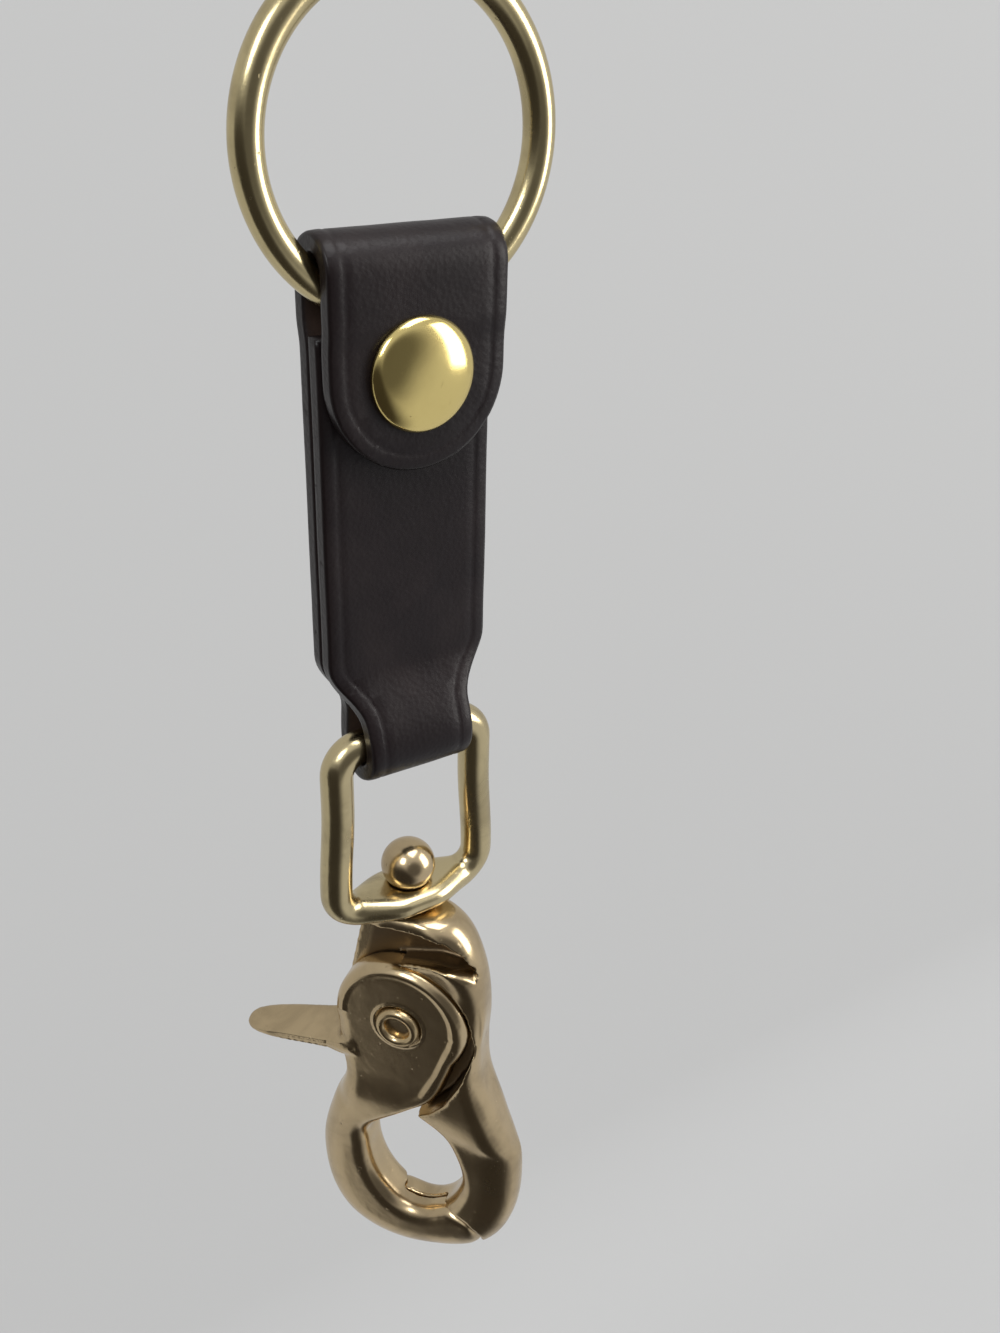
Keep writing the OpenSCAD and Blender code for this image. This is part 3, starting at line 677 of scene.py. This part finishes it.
for name, node_name, body, profile in (
        ("cap_stem", "cap_post", "flap_body", cap_stem),
        ("snap_socket_shell", "snap_socket", "flap_body", socket),
        ("snap_stud_shell", "snap_stud", "strap_body", stud),
        ("stud_stem_and_flange", "stud_post", "strap_body", stud_stem)):
    settle(new_piece(name, turned(profile, 72), cap_brass, AT_SNAP), body, "brass", node_name)

bm = wire_circle(14, 0.3, (2.45, 0, 1.65))
bmesh.ops.rotate(bm, verts=bm.verts, cent=(0, 0, 0),
                 matrix=Matrix.Rotation(math.radians(15), 3, "Z"))
bmesh.ops.spin(bm, geom=bm.verts[:] + bm.edges[:], cent=(0, 0, 0), axis=(0, 0, 1),
               angle=math.radians(330), steps=66)
bmesh.ops.holes_fill(bm, edges=open_edges(bm), sides=0)
bmesh.ops.recalc_face_normals(bm, faces=bm.faces)
socket_ring = new_piece("socket_ring_spring", bm, spring_steel, AT_SNAP)
settle(socket_ring, "flap_body", "spring_steel", "socket_spring")

# %% [markdown]
# ## Swivel eye and pin
# The eye is cast in one piece: round wire at the top and the sides, which the caster widens to a
# flat bar where the ball-headed pin goes through. A loft carries one ring of vertices round the
# whole eye and changes its two half sizes on the way.

# %% Swivel eye
EYE_X = 11.9
LOW_X = 12.7
CORNER = 4.2
EYE_R = 2.5
BAR_Z = EYE_Z - 29.7
BAR_HALF = 2.3
BAR_TOP = BAR_Z + BAR_HALF
BAR_LOW = BAR_Z - BAR_HALF
BALL_R = 4.3
BALL_Z = BAR_TOP - 1.4 + BALL_R
PIN_R = 2.9
PIN_END = -117.4
SEAT_R, HOLE_R = 4.55, 2.98
limb_z = EYE_Z - CORNER - 5
half_path = ([((EYE_X - CORNER) * i / 4, EYE_Z) for i in range(4)]
             + arc(EYE_X - CORNER, EYE_Z - CORNER, CORNER, 90, 0, 10)
             + [(EYE_X + (LOW_X - EYE_X) * half_wave(i, 10),
                 limb_z + (BAR_Z + CORNER - limb_z) * i / 10) for i in range(11)]
             + arc(LOW_X - CORNER, BAR_Z + CORNER, CORNER, 0, -90, 12)[1:]
             + [((LOW_X - CORNER) * (1 - i / 10), BAR_Z) for i in range(1, 11)])
eye_path = [Vector(p) for p in half_path + [(-x, z) for x, z in half_path[-2:0:-1]]]
rings = []
for i, p in enumerate(eye_path):
    d = (eye_path[(i + 1) % len(eye_path)] - eye_path[i - 1]).normalized()
    low = p.y < BAR_Z + CORNER + 2
    flat = smooth((LOW_X - 0.8 - abs(p.x)) / (LOW_X - 3)) if low else 0.0
    a, b, e = EYE_R - 0.2 * flat, EYE_R + 2.9 * flat, 1 - 0.22 * flat
    rings.append([])
    for q in (FULL * k / 36 for k in range(36)):
        u, v = a * power(math.cos(q), e), b * power(math.sin(q), e)
        rings[-1].append((p.x - d.y * u, v, p.y + d.x * u))
seat = bmesh.new()
bmesh.ops.create_uvsphere(seat, u_segments=64, v_segments=32, radius=SEAT_R)
hole = bmesh.new()
bmesh.ops.create_cone(hole, cap_ends=True, segments=64, radius1=HOLE_R, radius2=HOLE_R, depth=12)
eye = new_piece("eye_of_cast_brass", loft(rings, closed=True), eye_brass)
cast(eye, cuts=(tool("ball_seat", seat, Matrix.Translation((0, 0, BALL_Z + 0.1))),
                tool("pin_hole", hole, Matrix.Translation((0, 0, BAR_Z)))), voxel=0.25, rounds=5)
# Painted shade in the eye's hollows
mark_hollows(eye)
settle(eye, "eye", "brass", "swivel_eye")

# %% Ball-headed pin
profile = arc(0, BALL_Z, BALL_R, 90, -46, 40) + [(PIN_R, BALL_Z - 3.3), (PIN_R, PIN_END),
                                                 (0, PIN_END)]
pin = new_piece("ball_headed_pin", turned(profile, 96), hook_brass)
settle(pin, "hook", "brass", "swivel_pin")

# %% [markdown]
# ## Snap hook
# The hook is two cast halves on one rivet. Each half is a loft over rows that give the inner
# edge, the outer edge and the roundings of one section. The halves are then cut free of each
# other: a round plate turns in front of a round plate, and each hook end nests in the other
# half's limb.

# %% The hook's own frame: across, from front to back, up from the rivet
PIVOT_Z = BAR_LOW - 0.25 - 22.6
TURN = math.radians(-52)
AT_HOOK = Matrix.Translation((0, 0, PIVOT_Z)) @ Matrix.Rotation(TURN, 4, "Z")
TO_BACK = AT_HOOK @ Matrix.Rotation(-QUARTER, 4, "X")
HALF_T, HALF_MID, HALF_LOOP = 5.3, 4.85, 4.4
PLATE = 11.9
RIM = 2.3
IN_R, OUT_R = 2.8, 5.4
INNER_AT, INNER_SIZE = (2, -32.4), (9.0, 13.7)
OUTER_AT, OUTER_SIZE = (2.15, -33.0), (19.0, 23.6)
SWELLS = ((0.055, 225, 45), (-0.085, 160, 28), (-0.045, 290, 28))
print("rivet at z", round(PIVOT_Z, 2), "mm, hook turned by", round(math.degrees(TURN)), "degrees")


# %% Rows: inner edge x and z, outer edge x and z, inner and outer rounding, half thickness
def bump_at(angle, at, width):
    off = abs((angle - at + 180) % 360 - 180)
    return math.cos(QUARTER * off / width) ** 2 if off < width else 0.0


def row(a, b, share=0.0, half=HALF_LOOP, outer=OUT_R):
    """A row across the hook's loop, from angle a on its opening to angle b on its outside.
    A share above 0 draws both edges towards each other, for the rounded ends."""
    swell = 1
    for amount, at, width in SWELLS:
        swell += amount * bump_at(b, at, width)
    a, b = math.radians(a), math.radians(b)
    i = Vector((INNER_AT[0] + INNER_SIZE[0] * math.cos(a),
                INNER_AT[1] + INNER_SIZE[1] * math.sin(a)))
    o = Vector((OUTER_AT[0] + OUTER_SIZE[0] * swell * power(math.cos(b), 0.87),
                OUTER_AT[1] + OUTER_SIZE[1] * swell * power(math.sin(b), 0.87)))
    m = (i + o) / 2
    p, q = i.lerp(m, share), o.lerp(m, share)
    return [p.x, p.y, q.x, q.y, IN_R, outer, half]


jaw_rows = [[11.4, -1.5, -11.6, -3.2, RIM, RIM, HALF_T], [8.9, -9.6, -11.1, -9.4, RIM, RIM, HALF_T],
            [6.3, -15.8, -10.8, -14.6, RIM, 3, HALF_T], [1.2, -20.4, -12.2, -19.4, RIM, 4, HALF_T],
            row(160, 158, 0, HALF_MID)]
jaw_rows += [row(a, b) for a, b in ((182, 182), (204, 205), (224, 226), (244, 246), (264, 266),
                                    (282, 285), (298, 301))]
jaw_rows += [row(309, 310, 0.12), row(315, 316, 0.42), row(318, 318.5, 0.8)]
body_rows = [[-2.8, 22.6, 4.4, 22.55, 3, 3, 3.3], [-5.6, 21.4, 8.4, 21.4, 4, 5, 4.6],
             [-8, 18.2, 11.4, 18, 4.6, 5.4, HALF_T], [-9.4, 12, 13.6, 11.4, 3, 5, HALF_T],
             [-10.8, 4.6, 14.2, 4, RIM, 4.4, HALF_T], [-11.6, -3.2, 13.7, -3.6, RIM, 3.6, HALF_T],
             [-9, -9.6, 14.3, -10.6, RIM, 3.6, HALF_T],
             [-6.2, -15.4, 17.2, -18.4, RIM, 4.4, HALF_T],
             [0.6, -19.2, 19.8, -25.2, IN_R, OUT_R, HALF_MID]]
body_rows += [[6.6, -23.7] + row(38, 8, outer=7.6)[2:], [9.8, -29.2] + row(14, -6, outer=7.6)[2:],
              row(-8, -20, outer=7.4), row(-28, -36, outer=6.6)]
body_rows += [row(a, b) for a, b in ((-48, -52), (-68, -69), (-86, -86), (-102, -102))]
body_rows += [row(-112, -112, 0.12), row(-119, -118, 0.42), row(-123, -122, 0.8)]
JAW_END, BODY_END = 8, 14


def dense(rows, m):
    """A smooth curve through the rows, with m steps from each to the next."""
    out = []
    for i in range(len(rows) - 1):
        a, b, c, d = (Vector(rows[k])
                      for k in (max(i - 1, 0), i, i + 1, min(i + 2, len(rows) - 1)))
        for j in range(m):
            t = j / m
            out.append((2 * b + (c - a) * t + (2 * a - 5 * b + 4 * c - d) * t * t
                        + (3 * b - 3 * c + d - a) * t ** 3) / 2)
    return out + [Vector(rows[-1])]


def section(r, n=11):
    """One closed section. Its roundings are held to a share of its width and of its depth."""
    inner, outer = Vector((r[0], r[1])), Vector((r[2], r[3]))
    width = (outer - inner).length
    along = (outer - inner) / width
    i = min(r[4], 0.46 * width)
    o = min(r[5], 0.52 * width if r[5] < 6 else 0.98 * width - i)
    d, di, do = r[6], min(r[4], 0.9 * r[6]), min(r[5], 0.9 * r[6])
    ring = []
    for q in range(4):
        for k in range(n):
            a = QUARTER * k / (n - 1)
            c, s = math.cos(a), math.sin(a)
            x, w = ((width - o + o * c, d - do + do * s), (i - i * s, d - di + di * c),
                    (i - i * c, di - d - di * s), (width - o + o * s, do - d - do * c))[q]
            p = inner + along * x
            ring.append((p.x, w, p.y))
    return ring


print("jaw from", len(jaw_rows), "rows, body from", len(body_rows))


# %% Tools that part the two halves
def disc(name, r, low, high):
    bm = bmesh.new()
    bmesh.ops.create_cone(bm, cap_ends=True, segments=128, radius1=r, radius2=r, depth=high - low)
    bmesh.ops.rotate(bm, verts=bm.verts, cent=(0, 0, 0),
                     matrix=Matrix.Rotation(-QUARTER, 3, "X"))
    bmesh.ops.translate(bm, verts=bm.verts, vec=(0, (low + high) / 2, 0))
    return tool(name, bm, AT_HOOK)


def plate_shape(name, outline, low, high, side=1):
    bm = bmesh.new()
    face = bm.faces.new([bm.verts.new((side * x, low, z)) for x, z in outline])
    up = bmesh.ops.extrude_face_region(bm, geom=[face])["geom"]
    bmesh.ops.translate(bm, verts=verts_of(up), vec=(0, high - low, 0))
    bmesh.ops.recalc_face_normals(bm, faces=bm.faces)
    return tool(name, bm, AT_HOOK)


def grown(points, gap):
    """The same closed outline, gap further out on every side."""
    pts = [Vector(p) for p in points]
    area = sum(a.x * b.y - b.x * a.y for a, b in zip(pts, pts[1:] + pts[:1]))
    sign = 1 if area > 0 else -1
    out = []
    for i, p in enumerate(pts):
        a, b = (p - pts[i - 1]).normalized(), (pts[(i + 1) % len(pts)] - p).normalized()
        n = Vector((a.y + b.y, -a.x - b.x)).normalized() * sign
        out.append(p + n * gap / max(0.4, n.dot(Vector((a.y, -a.x)) * sign)))
    return out


def end_outline(rows, gap):
    fine = dense(rows, 4)
    return grown([(r[0], r[1]) for r in fine] + [(r[2], r[3]) for r in reversed(fine)], gap)


def turned_plate(name, profile):
    return tool(name, turned(profile, 128), TO_BACK)


GAP = 0.3
SPLIT = 0.1
FAR = 20
WEDGE = 1.9 - GAP
web_room = [(0, 0), (PLATE, 0), (PLATE - 0.5 + 0.3 * WEDGE, -4), (6.3 + WEDGE, -15.6),
            (3.3 + WEDGE, -18.6), (-2 + WEDGE, -22.4), (-7.6, -22.4), (-8, -9)]
front_web_room = [(0, 0), (PLATE, 0), (12.7, -2.8), (12.4, -4.6), (11.0, -9.4), (8.0, -15.4),
                  (5.3, -18.5), (-0.4, -22.4), (-7.6, -22.4), (-8, -9)]
crescent = [(-40, 0), (-40, 19.4), (-6.4, 19.4), (-2, 20.0), (4, 20.0), (8, 19.0),
            (10.6, 16.8), (12.2, 14.2), (13.3, 11.2), (11.8, 12.8), (9.4, 13.9), (6, 14.0),
            (2, 13.0), (-2, 12.0), (0, 0)]
print("rooms for the web with", len(web_room), "and", len(front_web_room), "corners")


# %% Press a cast skin in, by a depth that a function gives for each place and normal
def press(piece, depth_at):
    mesh = piece.data
    turn = np.array(AT_HOOK.to_3x3())
    place = (read_verts(mesh, "co") / MM - np.array(AT_HOOK.translation)) @ turn
    normal = read_verts(mesh, "normal") @ turn
    depths = np.array([depth_at(Vector(p), Vector(n)) if p[1] < FRONT_FROM else 0.0
                       for p, n in zip(place, normal)])
    place[:, 1] += depths
    place = (place @ turn.T + np.array(AT_HOOK.translation)) * MM
    mesh.vertices.foreach_set("co", place.ravel())
    mesh.update()
    print(piece.name, int((depths > 0).sum()), "vertices pressed, by up to",
          round(float(depths.max()), 2), "mm")


def soften(piece, inside, rounds):
    """Rounds a casting further where the function says that a place, in the hook's frame, is
    inside."""
    bm = bmesh.new()
    bm.from_mesh(piece.data)
    back = AT_HOOK.inverted()
    chosen = [v for v in bm.verts if inside(back @ (v.co / MM))]
    for _ in range(rounds):
        bmesh.ops.smooth_vert(bm, verts=chosen, factor=0.5, use_axis_x=True, use_axis_y=True,
                              use_axis_z=True)
    bm.to_mesh(piece.data)
    bm.free()
    print(piece.name, len(chosen), "vertices softened")


CHEEK_DEPTH = 1.2
FACE_DEPTH = 0.32
BEAD_INNER = 10.2
FRONT_FROM = -1
web_edge = [Vector(q) for q in ((9.9, -1), (7.2, -9.2), (4.3, -15.4), (0.4, -18.8), (-4, -21.5))]


def cheek_depth(p, n):
    """The cheek of the body falls a little towards the round plate, so the plate's bead stands
    proud of it."""
    near = 1 - smooth((math.hypot(p.x, p.z) - PLATE) / 5)
    return CHEEK_DEPTH * near * smooth((-p.y - 1.5) / 2) * smooth((p.z + 4) / 4)


def face_depth(p, n):
    """The jaw's face is sunk inside a bead that runs round the plate and down the web's edge."""
    inside = BEAD_INNER - math.hypot(p.x + 0.2, p.z - 0.7)
    if p.z < 0:
        q = Vector((p.x, p.z))
        lines = [(b - a, q - a) for a, b in zip(web_edge, web_edge[1:])]
        inside = max(inside, min((w.x * d.y - w.y * d.x) / d.length for d, w in lines))
    return (FACE_DEPTH * smooth(inside / 1.2) * smooth((-n.y - 0.55) / 0.35)
            * smooth((p.z + 19.5) / 7) * smooth((math.hypot(p.x, p.z) - 4.4) / 0.5)
            * smooth((-p.y - 3.8) / 0.5))


# %% Hook body: the half with the dome
body_cuts = [disc("front_plate_room", PLATE + GAP, -FAR, SPLIT),
             plate_shape("web_room", grown(front_web_room, GAP), -FAR, SPLIT),
             plate_shape("crescent", crescent, -FAR, SPLIT),
             plate_shape("far_room", [(-40, 1), (-40, -60), (0, -60), (0, 1)], -FAR, SPLIT),
             plate_shape("end_room", end_outline(jaw_rows[JAW_END:], GAP), -FAR, SPLIT)]
back_plate = turned_plate("back_plate", [(0, SPLIT), (PLATE, SPLIT)]
                          + arc(PLATE - RIM, HALF_T - RIM, RIM, 0, 90, 8) + [(0, HALF_T)])
body_skin = loft([section(r) for r in dense(body_rows, 6)])
hook = new_piece("hook_body_casting", body_skin, hook_brass, AT_HOOK)
skin = skin_of(hook)
cast(hook, joins=(back_plate,), cuts=body_cuts, voxel=0.3, rounds=7)
soften(hook, lambda p: p.y < -0.6 and 12.4 < p.z < 21.5 and -9 < p.x < 14.5, 10)
# Painted shade in the body's hollows and in the slots under its uncut skin
mark_hollows(hook, skin)
press(hook, cheek_depth)
settle(hook, "hook", "brass", "hook_body")

# %% Trigger jaw: the half with the thumb tab
TAB_SECTIONS = ((-1, 5.2, 1.9), (1.5, 5.0, 1.75), (3.2, 4.6, 1.4), (4.6, 4.2, 1.1),
                (7, 4.0, 0.95), (10, 3.8, 0.95), (13.5, 3.55, 0.95), (16.5, 3.2, 0.93),
                (19, 2.7, 0.88), (20.6, 2.1, 0.78), (21.5, 1.35, 0.6), (21.9, 0.5, 0.3))
AT_TAB = (AT_HOOK @ Matrix.Translation((-9.4, -0.9, -7.4)) @ Matrix.Rotation(math.pi, 4, "Z")
          @ Matrix.Rotation(math.radians(12), 4, "Y")
          @ Matrix.Rotation(math.radians(-14), 4, "X"))
tab_rings = [[(x, half * power(math.cos(a), 0.75), thick * power(math.sin(a), 0.5))
              for a in (FULL * k / 32 for k in range(32))] for x, half, thick in TAB_SECTIONS]
tab_tool = tool("thumb_tab", loft(tab_rings), AT_TAB)
jaw_cuts = [disc("back_plate_room", PLATE + GAP, -SPLIT, FAR),
            plate_shape("back_web_room", grown(web_room, GAP), -SPLIT, FAR, -1),
            plate_shape("back_far_room", [(0, 1), (0, -60), (40, -60), (40, 1)], -SPLIT, FAR),
            plate_shape("back_end_room", end_outline(body_rows[BODY_END:], GAP), -SPLIT, FAR)]
jaw_skin = loft([section(r) for r in dense(jaw_rows, 6)])
jaw = new_piece("trigger_jaw_casting", jaw_skin, hook_brass, AT_HOOK)
skin = skin_of(jaw)
cast(jaw, joins=(tab_tool,), cuts=jaw_cuts, voxel=0, rounds=0)
front_plate = turned_plate("front_plate", [(0, -HALF_T)]
                           + arc(PLATE - RIM, RIM - HALF_T, RIM, -90, 0, 8)
                           + [(PLATE, -SPLIT), (0, -SPLIT)])
cast(jaw, joins=(front_plate,), voxel=0.3, rounds=2)
RIVET_SEAT = 0.4 - HALF_T
cast(jaw, cuts=(disc("rivet_seat", 4.3, -FAR, RIVET_SEAT),), voxel=0.27, rounds=4)
soften(jaw, lambda p: -14 < p.x < -8.2 and -13.5 < p.z < -1.5 and p.y < 1.5, 14)
# Painted shade in the jaw's hollows and in the slots under its uncut skin
mark_hollows(jaw, skin)
press(jaw, face_depth)
settle(jaw, "jaw", "brass", "trigger_jaw")

# %% [markdown]
# ## Rivet and jaw spring
# The rivet is semi-tubular: its hollow end is rolled outwards over the jaw's plate. The spring
# that closes the jaw is wound round it, in a pocket between the plates.

# %% Rivet
low = RIVET_SEAT - 0.06
ROLL_AT, ROLL_WIDE, ROLL_HIGH = 2.95, 0.95, 1.25
profile = ([(0, low + 4), (1.4, low + 3.9), (2.0, low + 3.2)]
           + [(ROLL_AT + ROLL_WIDE * math.cos(math.radians(a)),
               low - ROLL_HIGH * math.sin(math.radians(a))) for a in range(180, -1, -12)]
           + [(2.6, low), (2.6, HALF_T), (4.0, HALF_T)] + arc(3.8, HALF_T + 0.1, 0.6, 0, 90, 8)
           + [(0, HALF_T + 0.9)])
rivet = new_piece("rolled_rivet", turned(profile, 96), rivet_brass, TO_BACK)
settle(rivet, "hook", "brass", "pivot_rivet")

# %% Jaw spring
WIRE, COIL, TURNS = 0.8, 4.0, 2.25
COIL_START, PITCH = 0.62, 1.06
rings = []
for i in range(int(TURNS * 32) + 1):
    a = FULL * i / 32
    rings.append([((COIL + WIRE / 2 * math.cos(b)) * math.cos(a),
                   (COIL + WIRE / 2 * math.cos(b)) * math.sin(a),
                   COIL_START + WIRE * PITCH * i / 32 + WIRE / 2 * math.sin(b))
                  for b in (FULL * k / 12 for k in range(12))])
spring = new_piece("jaw_spring_coil", loft(rings), spring_steel, TO_BACK)
settle(spring, "hook", "spring_steel", "jaw_spring")

# %% [markdown]
# ## Wall, light and air
# The clip hangs in front of a pale wall, far enough from it for the hook to swing through. The
# backdrop is one sheet that comes down the wall and runs out forward as a floor. Seen from behind
# it is clear, so the back of the clip shows. The light is soft: a pale room all round, darker on
# the camera's side and low on the left, with broad lamps left and right, which put the long
# highlights on the brass. The camera itself sees the room as pale everywhere.

# %% Backdrop
WALL, WALL_TOP, WALL_HALF = 118, 1200, 1300
CURVE_TOP, CURVE = -360, 60
FLOOR_END = -40
bm = bmesh.new()
profile = [(WALL, WALL_TOP)] + [(WALL - CURVE + CURVE * math.cos(a),
                                 CURVE_TOP - CURVE * math.sin(a))
                                for a in (QUARTER * i / 16 for i in range(17))]
profile.append((FLOOR_END, CURVE_TOP - CURVE))
verts = [bm.verts.new((-WALL_HALF, y, z)) for y, z in profile]
edges = [bm.edges.new(pair) for pair in zip(verts, verts[1:])]
over = bmesh.ops.extrude_edge_only(bm, edges=edges)["geom"]
bmesh.ops.translate(bm, verts=verts_of(over), vec=(2 * WALL_HALF, 0, 0))
bm.normal_update()
if max(bm.faces, key=lambda f: f.calc_area()).normal.y > 0:
    bmesh.ops.reverse_faces(bm, faces=bm.faces)

paper, tree, shader = new_material("pale_paper")
shader.inputs["Base Color"].default_value = (0.56, 0.565, 0.57, 1)
shader.inputs["Roughness"].default_value = 0.7
glow = add(tree, "ShaderNodeEmission", 0, -200)
glow.inputs["Color"].default_value = (0.565, 0.565, 0.56, 1)
clear = add(tree, "ShaderNodeBsdfTransparent", 250, -200)
path = add(tree, "ShaderNodeLightPath", -600, 400)
side_seen = add(tree, "ShaderNodeNewGeometry", -600, 700)
seen = maths(tree, "MAXIMUM", path.outputs["Is Camera Ray"], path.outputs["Is Glossy Ray"],
             -400, 300)
seen = maths(tree, "MAXIMUM", seen, path.outputs["Is Transmission Ray"], -250, 300)
even = shader_mix(tree, maths(tree, "MULTIPLY", seen, 0.75, -100, 300), shader.outputs["BSDF"],
                  glow.outputs["Emission"], 250, 0)
from_behind = maths(tree, "MULTIPLY", side_seen.outputs["Backfacing"],
                    path.outputs["Is Camera Ray"], -100, 600)
one_way = shader_mix(tree, from_behind, even, clear.outputs["BSDF"], 450, 0)
tree.links.new(one_way, tree.nodes["Material Output"].inputs["Surface"])
backdrop = new_piece("pale_backdrop", bm, paper)
print("wall", WALL, "mm behind the clip")


# %% Lamps
AIM = Vector((0, 0, -0.08))


def lamp(name, place, size, watts, colour=(1, 1, 1)):
    data = bpy.data.lights.new(name, "AREA")
    data.shape, data.size, data.size_y = "RECTANGLE", size[0], size[1]
    data.energy, data.color = watts, colour
    lamp_object = bpy.data.objects.new(name, data)
    bpy.context.collection.objects.link(lamp_object)
    lamp_object.location = place
    lamp_object.rotation_euler = (AIM - Vector(place)).to_track_quat("-Z", "Y").to_euler()
    print(name, watts, "W")


lamp("left_window", (-0.50, -0.30, 0.42), (0.22, 0.30), 1.7, (0.98, 1.0, 1.0))
lamp("right_window", (0.55, -0.42, 0.10), (0.30, 0.6), 3.0, (1.0, 0.98, 0.94))
lamp("ceiling", (0.15, -0.20, 0.70), (0.5, 0.4), 3.4)

# %% Room: pale, with two soft dark sides that only the clip reflects
PALE, DARK = (0.62, 0.63, 0.65), (0.05, 0.045, 0.04)
LOW_LEFT, TO_FRONT = (-0.72, -0.35, -0.60), (-0.08, -0.97, 0.05)
world = bpy.data.worlds.new("pale_room")
bpy.context.scene.world = world
world.use_nodes = True
tree = world.node_tree
direction = add(tree, "ShaderNodeTexCoord", -1100, 0)


def towards(axis, y):
    facing = add(tree, "ShaderNodeVectorMath", -900, y, operation="DOT_PRODUCT")
    facing.inputs[1].default_value = axis
    tree.links.new(direction.outputs["Generated"], facing.inputs[0])
    return facing.outputs["Value"]


shade = maths(tree, "MAXIMUM", ramp_of(tree, towards(LOW_LEFT, 0), 0.4, 0.8, -650, 0),
              ramp_of(tree, towards(TO_FRONT, -300), 0.72, 0.92, -650, -300, 0, 0.85), -500, 0)
path = add(tree, "ShaderNodeLightPath", -900, 300)
not_camera = maths(tree, "LESS_THAN", path.outputs["Is Camera Ray"], 0.5, -650, 300)
shade = maths(tree, "MULTIPLY", shade, not_camera, -420, 150)
tree.links.new(colour_mix(tree, shade, PALE, DARK, -350, 0),
               tree.nodes["Background"].inputs["Color"])
bpy.context.scene.view_settings.view_transform = "Standard"
print("room", world.name, "has", len(tree.nodes), "nodes")
